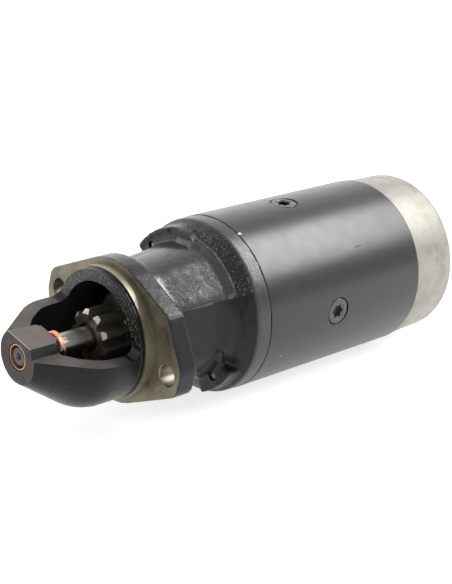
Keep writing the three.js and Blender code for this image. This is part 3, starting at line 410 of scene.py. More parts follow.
# ---------------------------------------------------------------- materials
class Finish:
    """A procedural material, built up by small steps from one Principled shader."""

    def __init__(self, name, color, roughness, metallic=0.0):
        self.material = bpy.data.materials.new(name)
        self.material.use_nodes = True
        self.tree = self.material.node_tree
        self.shader = self.tree.nodes["Principled BSDF"]
        self.shader.inputs["Metallic"].default_value = metallic
        self.coordinates = self.add("ShaderNodeTexCoord").outputs["Object"]
        self.shader.inputs["Roughness"].default_value = roughness
        self.color = self.add("ShaderNodeRGB").outputs[0]
        self.color.default_value = (*color, 1)
        self.link(self.color, self.shader.inputs["Base Color"])
        self.normal = None

    def add(self, kind, **values):
        node = self.tree.nodes.new(kind)
        for key, value in values.items():
            setattr(node, key, value)
        return node

    def link(self, source, target):
        self.tree.links.new(source, target)

    def texture(self, kind, scale, **values):
        """A texture node over the object's own coordinates."""
        node = self.add(kind, **values)
        node.inputs["Scale"].default_value = scale
        self.link(self.coordinates, node.inputs["Vector"])
        return node

    def noise(self, size, detail=3.0):
        """Noise whose features are about size millimetres wide, from 0 to 1."""
        node = self.texture("ShaderNodeTexNoise", 1 / (size * MM))
        node.inputs["Detail"].default_value = detail
        return node.outputs["Fac"]

    def pits(self, size):
        """Cells about size millimetres wide, each dark in its middle."""
        return self.texture("ShaderNodeTexVoronoi", 1 / (size * MM)).outputs["Distance"]

    def rings(self, size):
        """Turning marks on a barrel: bands along X."""
        scale = 1 / (size * MM) / 3
        node = self.texture("ShaderNodeTexWave", scale, wave_type="BANDS", bands_direction="X")
        node.inputs["Distortion"].default_value = 0.6
        return node.outputs["Fac"]

    def facing(self, size):
        """Turning marks on a face: rings about X."""
        scale = 1 / (size * MM) / 3
        node = self.texture("ShaderNodeTexWave", scale, wave_type="RINGS", rings_direction="X")
        node.inputs["Distortion"].default_value = 0.4
        return node.outputs["Fac"]

    def remap(self, value, low, high, to_low=0.0, to_high=1.0):
        """Carries low..high over to to_low..to_high, and holds the ends."""
        node = self.add("ShaderNodeMapRange")
        for key, number in (("From Min", low), ("From Max", high), ("To Min", to_low), ("To Max", to_high)):
            node.inputs[key].default_value = number
        self.link(value, node.inputs["Value"])
        return node.outputs["Result"]

    def between(self, axis, low, high):
        """1 below low and 0 above high along an axis, in millimetres."""
        node = self.add("ShaderNodeSeparateXYZ")
        self.link(self.coordinates, node.inputs[0])
        return self.remap(node.outputs[axis], low * MM, high * MM, 1.0, 0.0)

    def spot(self, centre, size):
        """A soft-edged ellipsoid, centre and half sizes in millimetres."""
        place = self.add("ShaderNodeMapping", vector_type="TEXTURE")
        place.inputs["Location"].default_value = tuple(c * MM for c in centre)
        place.inputs["Scale"].default_value = tuple(c * MM for c in size)
        self.link(self.coordinates, place.inputs["Vector"])
        node = self.add("ShaderNodeVectorMath", operation="LENGTH")
        self.link(place.outputs[0], node.inputs[0])
        return self.remap(node.outputs["Value"], 0.6, 1.0, 1.0, 0.0)

    def tint(self, mask, color):
        """Mixes another colour in where mask is 1."""
        node = self.add("ShaderNodeMix", data_type="RGBA")
        self.link(mask, node.inputs["Factor"])
        self.link(self.color, node.inputs["A"])
        node.inputs["B"].default_value = (*color, 1)
        self.color = node.outputs["Result"]
        self.link(self.color, self.shader.inputs["Base Color"])

    def vary_roughness(self, mask, low, high):
        """Spreads the roughness from low to high over the middle half of mask."""
        self.link(self.remap(mask, 0.25, 0.75, low, high), self.shader.inputs["Roughness"])

    def bump(self, height, depth, strength=1.0):
        """Relief of that depth in millimetres."""
        node = self.add("ShaderNodeBump")
        node.inputs["Distance"].default_value = depth * MM
        node.inputs["Strength"].default_value = strength
        self.link(height, node.inputs["Height"])
        if self.normal is not None:
            self.link(self.normal, node.inputs["Normal"])
        self.normal = node.outputs[0]
        self.link(self.normal, self.shader.inputs["Normal"])


def cast_black(name, grain, depth, roughness, gloss=0.5, base=0.007, pit=0.0, painted_glints=False):
    """Black paint on sand-cast iron: a fine grain, with pits and, where asked for, light specks painted in
    as glints of light on the rough paint.
    """
    f = Finish(name, (base, base * 1.05, base * 1.2), roughness)
    f.shader.inputs["Specular IOR Level"].default_value = gloss
    f.tint(f.remap(f.noise(14, 4), 0.45, 0.75, 0, 0.6), (base * 1.6, base * 1.6, base * 1.7))
    if painted_glints:
        # painted glints: light grey specks of colour standing in for the sparkle of light on the rough
        # paint
        f.tint(f.remap(f.noise(1.0, 3), 0.6, 0.7), (0.24, 0.24, 0.23))
    f.vary_roughness(f.noise(2, 4), roughness - 0.05, roughness + 0.1)
    f.bump(f.noise(grain * 5, 2), depth * 0.9)
    f.bump(f.noise(grain, 4), depth * 0.5)
    if pit:
        f.bump(f.remap(f.noise(0.9, 1), 0.6, 0.68, 1, 0), pit)
    return f.material


def machined_iron(name, color, roughness, mark, metallic=0.85):
    """Bare machined iron with a thin film of oil and age."""
    f = Finish(name, color, roughness, metallic)
    dark = tuple(c * 0.55 for c in color)
    light = tuple(min(1, c * 1.35) for c in color)
    f.tint(f.remap(f.noise(16, 5), 0.42, 0.7, 0, 0.8), dark)
    f.tint(f.remap(f.noise(6, 5), 0.55, 0.75, 0, 0.6), light)
    f.vary_roughness(f.noise(5, 5), roughness - 0.08, roughness + 0.14)
    f.bump(f.facing(mark), 0.02, 0.5)
    f.bump(f.noise(0.7, 3), 0.03, 0.5)
    return f.material


def yoke_paint():
    """Satin black paint on a turned steel tube."""
    f = Finish("yoke_paint", (0.011, 0.011, 0.0125), 0.33)
    f.tint(f.remap(f.noise(40, 3), 0.4, 0.7, 0, 0.5), (0.015, 0.015, 0.0165))
    f.vary_roughness(f.noise(9, 5), 0.3, 0.37)
    for x, angle, size, color in PAINT_MARKS:
        y, z = polar(YOKE_R, angle)
        mark = f.spot((x, y, z), size)
        f.tint(mark, color)
        f.bump(f.remap(mark, 0, 1, 1, 0), 0.15)
    f.bump(f.noise(1.4, 2), 0.012, 0.5)
    f.bump(f.rings(1.3), 0.004, 0.4)
    return f.material


def cast_alloy():
    """Pale die-cast alloy with faint stains."""
    f = Finish("alloy", (0.275, 0.264, 0.236), 0.55, 0.4)
    f.tint(f.remap(f.noise(11, 6), 0.46, 0.64, 0, 0.75), (0.215, 0.193, 0.15))
    f.tint(f.remap(f.noise(3, 4), 0.6, 0.74, 0, 0.45), (0.15, 0.135, 0.105))
    f.tint(f.remap(f.noise(0.8, 2), 0.7, 0.78, 0, 0.6), (0.1, 0.09, 0.075))
    f.vary_roughness(f.noise(4, 5), 0.38, 0.55)
    f.bump(f.noise(2.2, 4), 0.04, 0.5)
    f.bump(f.noise(0.5, 2), 0.015, 0.5)
    return f.material


def bright_metal(name, color, roughness, mark=0.5, stain=0.75):
    """Turned or ground metal."""
    f = Finish(name, color, roughness, 1.0)
    f.tint(f.remap(f.noise(5, 5), 0.5, 0.75, 0, 0.6), tuple(c * stain for c in color))
    f.vary_roughness(f.noise(2.5, 4), roughness - 0.06, roughness + 0.1)
    f.bump(f.rings(mark), 0.006, 0.5)
    return f.material


def plated_steel():
    """Zinc plate, yellowed in patches."""
    f = Finish("plated_steel", (0.62, 0.6, 0.53), 0.32, 0.95)
    f.tint(f.remap(f.noise(7, 5), 0.45, 0.7, 0, 0.6), (0.52, 0.47, 0.34))
    f.vary_roughness(f.noise(3, 4), 0.26, 0.42)
    f.bump(f.noise(0.8, 3), 0.012, 0.6)
    return f.material


def plain(name, color, roughness, metallic, grain, depth):
    """Moulded plastic, rubber, carbon or pressed sheet, with a fine grain."""
    f = Finish(name, color, roughness, metallic)
    f.tint(f.remap(f.noise(8, 4), 0.45, 0.7, 0, 0.6), tuple(c * 0.7 for c in color))
    f.vary_roughness(f.noise(2, 3), roughness - 0.06, roughness + 0.08)
    f.bump(f.noise(grain, 3), depth, 0.8)
    return f.material


def wound_copper():
    """Varnished wire, side by side."""
    f = Finish("winding", (0.42, 0.14, 0.06), 0.35, 0.7)
    f.tint(f.remap(f.noise(4, 4), 0.45, 0.7, 0, 0.7), (0.2, 0.06, 0.03))
    f.bump(f.rings(1.6), 0.3, 0.8)
    return f.material


def braid():
    """Bare woven copper."""
    f = Finish("copper_braid", (0.62, 0.3, 0.16), 0.38, 0.95)
    f.tint(f.remap(f.pits(0.9), 0.2, 0.6, 0, 0.8), (0.22, 0.09, 0.05))
    f.bump(f.pits(0.9), 0.25, 0.9)
    return f.material


def painted_edge_highlight_iron():
    """The nose's flat, with a painted highlight along its front edge: a bright line of colour in place of
    the light that the edge catches.
    """
    f = Finish("nose_flat_iron", (0.13, 0.112, 0.104), 0.42, 0.7)
    f.tint(f.remap(f.noise(8, 4), 0.45, 0.7, 0, 0.7), (0.1, 0.08, 0.068))
    # painted highlight: a bright strip of colour along the flat's front edge
    f.tint(f.between(0, NOSE_X + 0.1, NOSE_X + 0.5), (0.6, 0.56, 0.5))
    f.bump(f.noise(0.7, 3), 0.03, 0.5)
    return f.material


def smooth_metal(name, color, roughness, metallic=1.0):
    """Ground and oiled metal, with only faint marks."""
    f = Finish(name, color, roughness, metallic)
    f.vary_roughness(f.noise(6, 3), roughness - 0.03, roughness + 0.05)
    f.bump(f.rings(0.4), 0.002, 0.4)
    return f.material


# cast_black takes its grain, depth, roughness, gloss, base, pit and painted glints.
M = {
    "cast": cast_black("cast_rough", 0.9, 0.06, 0.28, 0.42, 0.005, 0.2),
    "cast_neck": cast_black("cast_neck", 0.9, 0.022, 0.2, 0.95, 0.005, 0.22),
    # a lighter copy of the cast paint for the shoulder ridge: a painted highlight along the ridge, with
    # painted glints
    "cast_ridge_highlight": cast_black("cast_ridge_highlight", 0.9, 0.15, 0.3, 0.5, 0.035, 0.2, True),
    "cast_coarse": cast_black("cast_coarse", 0.9, 0.45, 0.26, 0.45, 0.003, 0.3, True),
    "cast_fine": cast_black("cast_fine", 0.9, 0.05, 0.34, 0.3, 0.005, 0.05),
    # a darker, less glossy copy of the cast paint: painted shade over the nose
    "cast_nose_shaded": cast_black("cast_nose_shaded", 0.9, 0.06, 0.28, 0.24, 0.002, 0.05),
    # the cast paint made several times lighter inside the housing: painted light where little light reaches
    "cast_inside_lit": cast_black("cast_inside_lit", 1.6, 0.1, 0.3, 0.5, 0.022),
    "band": cast_black("cast_band", 0.9, 0.02, 0.33, 0.6, 0.012, 0.1),
    "flange": machined_iron("flange_iron", (0.2, 0.178, 0.128), 0.36, 0.5, 0.8),
    "pilot": machined_iron("pilot_iron", (0.27, 0.245, 0.18), 0.38, 0.5, 0.85),
    "nose_face": machined_iron("nose_iron", (0.046, 0.036, 0.032), 0.4, 0.6, 0.75),
    "nose_flat": painted_edge_highlight_iron(),
    "rim": machined_iron("rim_iron", (0.1, 0.09, 0.084), 0.46, 0.8, 0.6),
    "hole": smooth_metal("hole_steel", (0.2, 0.18, 0.15), 0.4),
    "yoke": yoke_paint(),
    "alloy": cast_alloy(),
    "steel": smooth_metal("steel", (0.36, 0.35, 0.32), 0.3),
    "dark_steel": smooth_metal("dark_steel", (0.19, 0.178, 0.148), 0.36, 0.85),
    "tooth_end": bright_metal("tooth_end", (0.5, 0.47, 0.4), 0.42, 0.5, 0.35),
    "shaft_end": smooth_metal("shaft_end", (0.075, 0.08, 0.087), 0.34),
    "socket": smooth_metal("socket_steel", (0.2, 0.2, 0.19), 0.3),
    "screw": smooth_metal("screw_black", (0.07, 0.07, 0.071), 0.34, 0.5),
    "bronze": bright_metal("bronze", (0.5, 0.28, 0.15), 0.36, 0.5, 0.7),
    "washer": bright_metal("copper_washer", (0.8, 0.36, 0.25), 0.46, 0.5, 0.85),
    "bush_brown": bright_metal("bronze_worn", (0.3, 0.13, 0.07), 0.4, 0.5, 0.6),
    "plated": plated_steel(),
    "winding": wound_copper(),
    "braid": braid(),
    "carbon": plain("carbon", (0.03, 0.029, 0.028), 0.6, 0.1, 0.6, 0.05),
    "bakelite": plain("bakelite", (0.012, 0.011, 0.012), 0.35, 0.0, 1.2, 0.03),
    "rubber": plain("rubber", (0.014, 0.014, 0.014), 0.7, 0.0, 0.8, 0.06),
}


def paint(obj, *names):
    """Gives the object these finishes. The first one goes on every face."""
    obj.data.materials.clear()
    for name in names:
        obj.data.materials.append(M[name])
    return obj


def paint_faces(obj, rule):
    """rule(centre in mm, normal) gives the name of the face's finish, one of those that paint gave."""
    for face in obj.data.polygons:
        face.material_index = obj.data.materials.find(M[rule(face.center / MM, face.normal)].name)


def place(obj, body, slot, *nodes):
    """Puts a piece on its body in place of CAD nodes."""
    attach(obj, body)
    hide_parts(*nodes)
    return obj


# ---------------------------------------------------------------- drive-end housing
def meet(line_a, line_b):
    """Where two straight edges meet, each given by its normal's angle and its distance."""
    a, b = math.radians(line_a[0]), math.radians(line_b[0])
    det = math.sin(a) * math.cos(b) - math.cos(a) * math.sin(b)
    return ((line_a[1] * math.cos(b) - line_b[1] * math.cos(a)) / det,
            (line_b[1] * math.sin(a) - line_a[1] * math.sin(b)) / det)


def flange_outline():
    """A disc with two lobes, alike when turned by half a turn."""
    upper, corner = (-15.5, FLANGE_R), (-55.0, FLANGE_R + 11.6)
    end, lower = (-92.0, FLANGE_HOLE_PCD / 2 + 10.95), (-143.5, FLANGE_R)
    lobe = rounded([
        polar(FLANGE_R, upper[0]),
        (*meet(upper, corner), 5),
        (*meet(corner, end), 9),
        (*meet(end, lower), 9),
        polar(FLANGE_R, lower[0]),
    ], 8)
    half = lobe + arc(FLANGE_R, lower[0], upper[0] - 180, 24)[1:-1]
    return half + [(-y, -z) for y, z in half]


def housing_body():
    """The casting's outside, with stock left on for machining."""
    stock = MACHINING_STOCK
    slope = math.tan(math.radians(NOSE_CONE_ANGLE))
    foot_x = NOSE_X + NOSE_FOOT_LENGTH
    foot_r = NOSE_TIP_R + 1.2
    top_x = foot_x + (NOSE_R - foot_r) / slope
    profile = rounded([
        (NOSE_X - stock, 0),
        (NOSE_X - stock, NOSE_TIP_R - 0.2),
        (foot_x, foot_r),
        (top_x, NOSE_R, NOSE_CONE_ROUND),
        (-PILOT_LENGTH - stock, NOSE_R),
        (-PILOT_LENGTH - stock, PILOT_R + stock),
        (FLANGE_THICKNESS / 2, PILOT_R + stock),
        (FLANGE_THICKNESS / 2, NECK_FRONT_R),
        (FLANGE_THICKNESS + 8, NECK_FRONT_R),
        (SHOULDER_X - 12, NECK_REAR_R - 1.4),
        (SHOULDER_X, NECK_REAR_R),
        (BAND_X, YOKE_R - 0.45),
        (HOUSING_REAR_X + stock, YOKE_R - 0.2),
        (HOUSING_REAR_X + stock, 0),
    ], 12)
    return lathe("housing_body", profile, 160)


def housing_hollow():
    """The room for the pinion and clutch, as a cutter."""
    seat_x = HOUSING_REAR_X - 5.3
    profile = rounded([
        (BOSS_REAR_X, 0),
        (BOSS_REAR_X, BOSS_REAR_R - 1.6),
        (BOSS_REAR_X - 6, BOSS_REAR_R - 0.4),
        (BOSS_REAR_X - 6.4, BOSS_REAR_R + 0.8),
        (BOSS_REAR_X + 1.6, 24.5, 14),
        (BOSS_REAR_X + 14, 32.4, 16),
        (BOSS_REAR_X + 26, NOSE_BORE_R),
        (FLANGE_THICKNESS, NOSE_BORE_R),
        (FLANGE_THICKNESS + 6, NECK_BORE_R),
        (seat_x, NECK_BORE_R),
        (seat_x, YOKE_BORE_R),
        (HOUSING_REAR_X + THROUGH, YOKE_BORE_R),
        (HOUSING_REAR_X + THROUGH, 0),
    ], 8)
    return lathe("hollow", profile, 128)


def lug(start, end, front, radius, fade=0.0):
    """A bolt lug from start to end, that sinks into the shoulder over the last fade degrees."""
    inner, steps = NECK_REAR_R - 3, 32
    outer = []
    for k in range(steps + 1):
        angle = end + (start - end) * k / steps
        height = min(1.0, abs(angle - end) / fade) if fade else 1.0
        outer.append(polar(inner + (radius - inner) * height ** 0.5, angle))
    return along("lug", front, BAND_X + 2, arc(inner, start, end, 16) + outer)


def tower():
    """The lever's tower and the solenoid's seat on it."""
    half, top = 14.0, SOLENOID_D + 14
    front_x = PIVOT_X - 15.5
    wedge = across("wedge", half, [
        (front_x, NOSE_BORE_R),
        (front_x, PIVOT_DISTANCE + 4),
        (PIVOT_X - 5, top - 5),
        (PIVOT_X + 2, top),
        (HOUSING_REAR_X - 7, top + 6),
        (HOUSING_REAR_X - 7, NOSE_BORE_R),
    ])
    seat = lathe("seat", [
        (PIVOT_X + 5, 0),
        (PIVOT_X + 5, half),
        (PIVOT_X + 11, PLUNGER_SPACE_R + 3),
        (HOUSING_REAR_X - SEAT_THICKNESS, PLUNGER_SPACE_R + 3),
        (HOUSING_REAR_X - SEAT_THICKNESS, SOLENOID_R - 0.2),
        (HOUSING_REAR_X + MACHINING_STOCK, SOLENOID_R - 0.2),
        (HOUSING_REAR_X + MACHINING_STOCK, 0),
    ])
    return turn(wedge, SOLENOID_ANGLE), on_solenoid(seat)


def tower_hollow():
    """The lever's slot and the plunger's bore."""
    front_x, top = PIVOT_X - 11.0, SOLENOID_D + 14
    rear_x = HOUSING_REAR_X - 12
    slot = across("slot", 9, [
        (front_x, NOSE_BORE_R - 5),
        (front_x, PIVOT_DISTANCE + 3),
        (PIVOT_X, top - 6),
        (PIVOT_X + 6, top - 4.5),
        (rear_x, top - 1),
        (rear_x, NOSE_BORE_R - 5),
    ])
    bore = rod("bore", PIVOT_X + 13, HOUSING_REAR_X + THROUGH, PLUNGER_SPACE_R)
    return turn(slot, SOLENOID_ANGLE), on_solenoid(bore)


def window_cutters():
    """What is milled away above the window's rim, leaving the round boss at the tip."""
    far = NOSE_R + THROUGH
    outside = NOSE_X - THROUGH
    opening = across("opening", far, rounded([
        (outside, RIM_HEIGHT),
        (WINDOW_REAR_X, RIM_HEIGHT, WINDOW_CORNER_R),
        (WINDOW_REAR_X, far),
        (outside, far),
    ], 10, True))
    boss = lathe("boss", [
        (outside - 1, 0),
        (outside - 1, NOSE_TIP_R),
        (NOSE_X, NOSE_TIP_R),
        (FLAT_REAR_X - 1.5, BOSS_REAR_R + 0.4),
        (FLAT_REAR_X, BOSS_REAR_R - 1),
        (FLAT_REAR_X, 0),
    ], 96)
    return turn(cut(opening, boss), GEAR_ANGLE)


def neck_flat():
    """The flat along the neck's side, whose height follows the neck's radius."""
    share = math.cos(math.radians((SMOOTH_SECTOR[1] - SMOOTH_SECTOR[0]) / 2))
    middle = (SMOOTH_SECTOR[0] + SMOOTH_SECTOR[1]) / 2
    front, rear = NECK_FRONT_R * share, (NECK_REAR_R - 0.4) * share
    far = YOKE_R + 10
    wedge = across("neck_flat", 30, [
        (FLANGE_THICKNESS + 0.8, front - 0.3),
        (FLANGE_THICKNESS + 8, front),
        (SHOULDER_X - 15, rear - 1.6),
        (SHOULDER_X - 7, rear + 0.2),
        (SHOULDER_X, rear + 5),
        (BAND_X - 3, YOKE_R - 2.4),
        (BAND_X - 1, far),
        (FLANGE_THICKNESS + 0.8, far),
    ])
    return turn(wedge, middle)


WEBS = [((42, -133), (52, -111)), ((52, -111), (60, -130))]  # x and angle of both ends


def webs():
    """Thin ribs that meet above the lower lug."""
    slope = (NECK_REAR_R - NECK_FRONT_R) / (SHOULDER_X - FLANGE_THICKNESS)
    made = []
    for (start_x, start_angle), (end_x, end_angle) in WEBS:
        path = []
        for k in range(9):
            x = start_x + (end_x - start_x) * k / 8
            r = NECK_FRONT_R + slope * (x - FLANGE_THICKNESS) + 0.3
            path.append(Vector((x, *polar(r, start_angle + (end_angle - start_angle) * k / 8))))
        made.append(sweep("web", path, 1.3, 12))
    return made


def shoulder_details():
    """The two lugs, the rim on the upper one, and a ridge round the shoulder."""
    rim_front, rim_rear, rim_r = LUG_FRONT_X - 0.9, LUG_FRONT_X + 1, LUG_R - 2.6
    rim = [(rim_front, rim_r), (rim_front, LUG_R), (rim_rear, LUG_R), (rim_rear, rim_r)]
    ridge = [(-2.4, 43), (-2, 47.2), (-0.6, 48.6), (1, 48.4), (2.4, 46)]  # x from the shoulder, radius
    upper, lower = LUG_ANGLES
    return [
        lug(upper + 14, upper - 56, LUG_FRONT_X, LUG_R, 26),
        lug(lower + 16, lower - 19, LUG_FRONT_X, LUG_R),
        partial_ring("lug_rim", rim, upper - 26, upper + 12),
        *webs(),
        partial_ring("ridge", [(SHOULDER_X + x, r) for x, r in ridge], *RIDGE_ANGLES),
    ]


def sand_texture(p):
    """How rough the casting is at a point, in millimetres."""
    angle = math.degrees(math.atan2(p.y, p.z))
    if p.x > BAND_X - 1:
        return 0.04
    if p.x > SHOULDER_X + 1:
        return 0.25
    if p.x < 0 or SMOOTH_SECTOR[0] < angle < SMOOTH_SECTOR[1]:
        return 0.06
    return 0.07


def housing_blank():
    """The casting as it leaves the mould."""
    body = housing_body()
    join(body, turn(along("flange", -MACHINING_STOCK, FLANGE_THICKNESS, flange_outline()), GEAR_ANGLE))
    cut(body, neck_flat())
    join(body, *shoulder_details(), *tower())
    cut(body, housing_hollow(), *tower_hollow())
    cast(body, CAST_VOXEL, 3)
    return roughen(body, sand_texture, 5.0)


def bolt_hole(x0, x1, angle):
    """A cutter for a through bolt."""
    return turn(move(rod("bolt_hole", x0, x1, BOLT_R + GAP, 32), z=BOLT_CIRCLE_R), angle)


def housing_cutters():
    """Every machined face and hole of the housing."""
    far = 140.0
    outside = NOSE_X - THROUGH
    boss_side = [(-10.4, FLAT_HEIGHT + 1), (-13.6, RIM_HEIGHT), (-30, RIM_HEIGHT),
                 (-30, FLAT_HEIGHT + 1)]
    cutters = [
        tube("face_flange", -PILOT_LENGTH - 2, 0, PILOT_R, far, 160, 0),
        tube("face_pilot", -PILOT_LENGTH - 2, -PILOT_LENGTH, NOSE_R + 0.25, far, 160, 0),
        block("face_tip", NOSE_X - 5, NOSE_X, -30, 30, -30, 30),
        block("face_rear", HOUSING_REAR_X, HOUSING_REAR_X + 10, -far, far, -far, far),
        window_cutters(),
        turn(block("tip_flat", outside, FLAT_REAR_X + THROUGH, -30, 30, FLAT_HEIGHT, 40), GEAR_ANGLE),
        turn(along("boss_side", outside, BOSS_REAR_X + THROUGH, boss_side), GEAR_ANGLE),
        rod("bush_bore", outside, BOSS_REAR_X + THROUGH, BUSH_R + GAP, 64),
    ]
    hole_end = FLANGE_THICKNESS + 4
    chamfered = [(-THROUGH, 0), (-THROUGH, FLANGE_HOLE_R + 2.6), (0.6, FLANGE_HOLE_R),
                 (hole_end, FLANGE_HOLE_R), (hole_end, 0)]
    for side in (-1, 1):
        hole = move(lathe("flange_hole", chamfered, 48), y=side * FLANGE_HOLE_PCD / 2)
        cutters.append(turn(hole, GEAR_ANGLE))
    return cutters + [bolt_hole(LUG_FRONT_X - THROUGH, HOUSING_REAR_X + THROUGH, a) for a in LUG_ANGLES]


def housing_finish(c, n):
    """The finish of the housing's face with its middle at c and its normal n."""
    up = Vector((0, *polar(1, GEAR_ANGLE)))
    side = Vector((0, up.z, -up.y))
    r = math.hypot(c.y, c.z)
    angle = math.degrees(math.atan2(c.y, c.z))
    height, lateral = c.dot(up), c.dot(side)
    forward = n.x < -0.9
    from_hole = math.hypot(abs(lateral) - FLANGE_HOLE_PCD / 2, height)
    on_boss = c.x < FLAT_REAR_X + 2
    if abs(c.x) < TOUCH and forward:
        return "flange"
    if abs(c.x + PILOT_LENGTH) < TOUCH and forward and r > NOSE_R:
        return "pilot"
    if -PILOT_LENGTH - 0.1 < c.x < 0.1 and r > PILOT_R - 0.15:
        return "pilot"
    if abs(c.x - NOSE_X) < TOUCH and forward:
        return "nose_face"
    if abs(height - FLAT_HEIGHT) < TOUCH and on_boss:
        return "nose_flat"
    if on_boss and RIM_HEIGHT < height < FLAT_HEIGHT and lateral < -10 and n.dot(side) < -0.5:
        return "cast_fine"
    if abs(c.x - WINDOW_REAR_X) < 0.5 and forward and height > RIM_HEIGHT:
        return "cast_coarse"
    if abs(height - RIM_HEIGHT) < TOUCH and n.dot(up) > 0.9:
        return "rim"
    if -1 < c.x < FLANGE_THICKNESS + 1 and from_hole < FLANGE_HOLE_R + 0.8:
        return "hole"
    # the housing's inside gets the lighter paint, painted light in the bore
    if n.y * c.y + n.z * c.z < 0.1 * r and r < NOSE_BORE_R + 0.7:
        return "cast_inside_lit"
    if r < NECK_BORE_R + 0.7 and c.x > 0:
        return "cast_inside_lit"
    if c.x > BAND_X - 1.2 and r > YOKE_R - 1.2:
        return "band"
    # the nose's outside gets the darker copy of the paint, painted shade
    if c.x < 0:
        return "cast_nose_shaded"
    if LUG_ANGLES[1] < angle < SMOOTH_SECTOR[1]:
        return "cast_fine"
    # the ridge's top gets the lighter paint, a painted highlight along the shoulder's edge
    if RIDGE_ANGLES[0] < angle < RIDGE_ANGLES[1] and abs(c.x - SHOULDER_X - 0.4) < 1.1 and r > 47.7:
        return "cast_ridge_highlight"
    if c.x > SHOULDER_X:
        return "cast_coarse"
    if c.x > FLANGE_THICKNESS + 1.5 and -75 < angle < 5 and r < LUG_R - 6:
        return "cast_neck"
    return "cast"


def drive_end_housing():
    body = cut(housing_blank(), *housing_cutters())
    body.name = "housing_casting"
    paint(body, "cast", "cast_fine", "cast_inside_lit", "flange", "pilot", "nose_face", "rim", "hole",
          "band", "nose_flat", "cast_coarse", "cast_nose_shaded", "cast_ridge_highlight", "cast_neck")
    paint_faces(body, housing_finish)
    shade(body, 35)
    place(body, "motor", "cast_black", "drive_end_housing")


# ---------------------------------------------------------------- nose bearing, shaft and washer
def nose_parts():
    bush = lathe("nose_bush_ring", [
        (BUSH_X, BUSH_R - 0.3), (BUSH_X + 0.3, BUSH_R), (BOSS_REAR_X, BUSH_R),
        (BOSS_REAR_X, JOURNAL_R + GAP), (BUSH_X + 3, JOURNAL_R + GAP), (BUSH_X + 0.9, BUSH_R - 0.95),
        (BUSH_X, BUSH_R - 0.95),
    ], 96, closed=True)
    place(paint(bush, "bronze"), "motor", "bronze", "nose_bush")

    low, high = span("thrust_washer")
    washer = tube("thrust_washer_ring", low.x, high.x, SHAFT_R + GAP, high.z, 96, 0.5)
    place(paint(washer, "washer"), "motor", "copper", "thrust_washer")


def armature_shaft():
    low, high = span("armature_shaft")
    spline_x = PINION_TAIL_X + 1.5
    centre_drill = [(low.x + 5.2, 0), (low.x + 3.6, 0.9), (low.x + 2.4, 0.9), (low.x + 0.2, 2.1),
                    (low.x, 2.4)]
    plate_x = span("centre_bearing_plate")[0].x
    hub_x = span("rear_bush")[0].x
    commutator_x = span("commutator")[1].x
    profile = centre_drill + [
        (low.x, JOURNAL_R - 0.9), (low.x + 0.9, JOURNAL_R),
        (BOSS_REAR_X + GAP, JOURNAL_R), (BOSS_REAR_X + GAP + 1, SHAFT_R),
        (spline_x, SHAFT_R), (spline_x + 1.5, SPLINE_R),
        (plate_x - 0.5, SPLINE_R), (plate_x - 0.5, 9.7),
        (HOUSING_REAR_X + 4, 9.7), (HOUSING_REAR_X + 4, 11),
        (commutator_x + 0.5, 11), (hub_x - 4.5, 9), (hub_x - 1.5, JOURNAL_R),
        (high.x, JOURNAL_R), (high.x, 0),
    ]
    shaft = lathe("shaft", profile, 96)
    paint(shaft, "steel", "shaft_end")

    def rule(c, n):
        return "shaft_end" if c.x < low.x + 6 and math.hypot(c.y, c.z) < JOURNAL_R + 0.2 else "steel"

    paint_faces(shaft, rule)
    place(shaft, "armature", "steel", "armature_shaft")


# ---------------------------------------------------------------- pinion and clutch
TEETH = 9
TOOTH_ANGLE = 6.0
PINION_R = 17.2
PINION_ROOT_R = 11.4
PINION_LENGTH = 22.0
# Share of a tooth's height, and its half width there in pitches.
FLANK = [(0.2, 0.35), (0.45, 0.3), (0.7, 0.24), (0.9, 0.175)]


def gear_outline():
    """The pinion's teeth, as (y, z) points."""
    pitch = 360 / TEETH
    depth = PINION_R - PINION_ROOT_R
    outline = []
    for i in range(TEETH):
        middle = TOOTH_ANGLE + i * pitch
        outline += arc(PINION_ROOT_R, middle - 0.48 * pitch, middle - 0.4 * pitch, 2)
        for share, half in FLANK:
            outline.append(polar(PINION_ROOT_R + share * depth, middle - half * pitch))
        outline += arc(PINION_R, middle - 0.145 * pitch, middle + 0.145 * pitch, 3)
        for share, half in reversed(FLANK):
            outline.append(polar(PINION_ROOT_R + share * depth, middle + half * pitch))
        outline += arc(PINION_ROOT_R, middle + 0.4 * pitch, middle + 0.48 * pitch, 2)
    return outline


def pinion_gear():
    rear_x = PINION_X + PINION_LENGTH
    bush_r = span("pinion_bush")[1].z
    gear = along("pinion_gear", PINION_X, rear_x, gear_outline())
    cone = lathe("lead_in", [
        (PINION_X - 1, 0), (PINION_X - 1, PINION_R - 3.9), (PINION_X + 2.2, PINION_R + 0.3),
        (rear_x - 1.2, PINION_R + 0.3), (rear_x + 0.5, PINION_R - 1.5), (rear_x + 0.5, 0)], 144)
    keep_common(gear, cone)
    tail = rod("tail", rear_x - 1, PINION_TAIL_X, 12.6, 96, 0.5)
    join(gear, tail)
    cut(gear, rod("bore", PINION_X - 2, PINION_TAIL_X + 2, bush_r + GAP, 96))
    bevel(gear, 0.35, 2, 35)
    paint(gear, "dark_steel", "tooth_end")

    def rule(c, n):
        on_bevel = c.x < PINION_X + 2.6 and -0.92 < n.x < -0.3 and math.hypot(c.y, c.z) > 13.5
        return "tooth_end" if on_bevel else "dark_steel"

    paint_faces(gear, rule)
    place(gear, "pinion", "dark_steel", "pinion")
    low, high = span("pinion_bush")
    bush = tube("pinion_bush_ring", low.x, high.x, SHAFT_R + GAP, high.z, 64, 0.3)
    place(paint(bush, "bush_brown"), "pinion", "bronze", "pinion_bush")


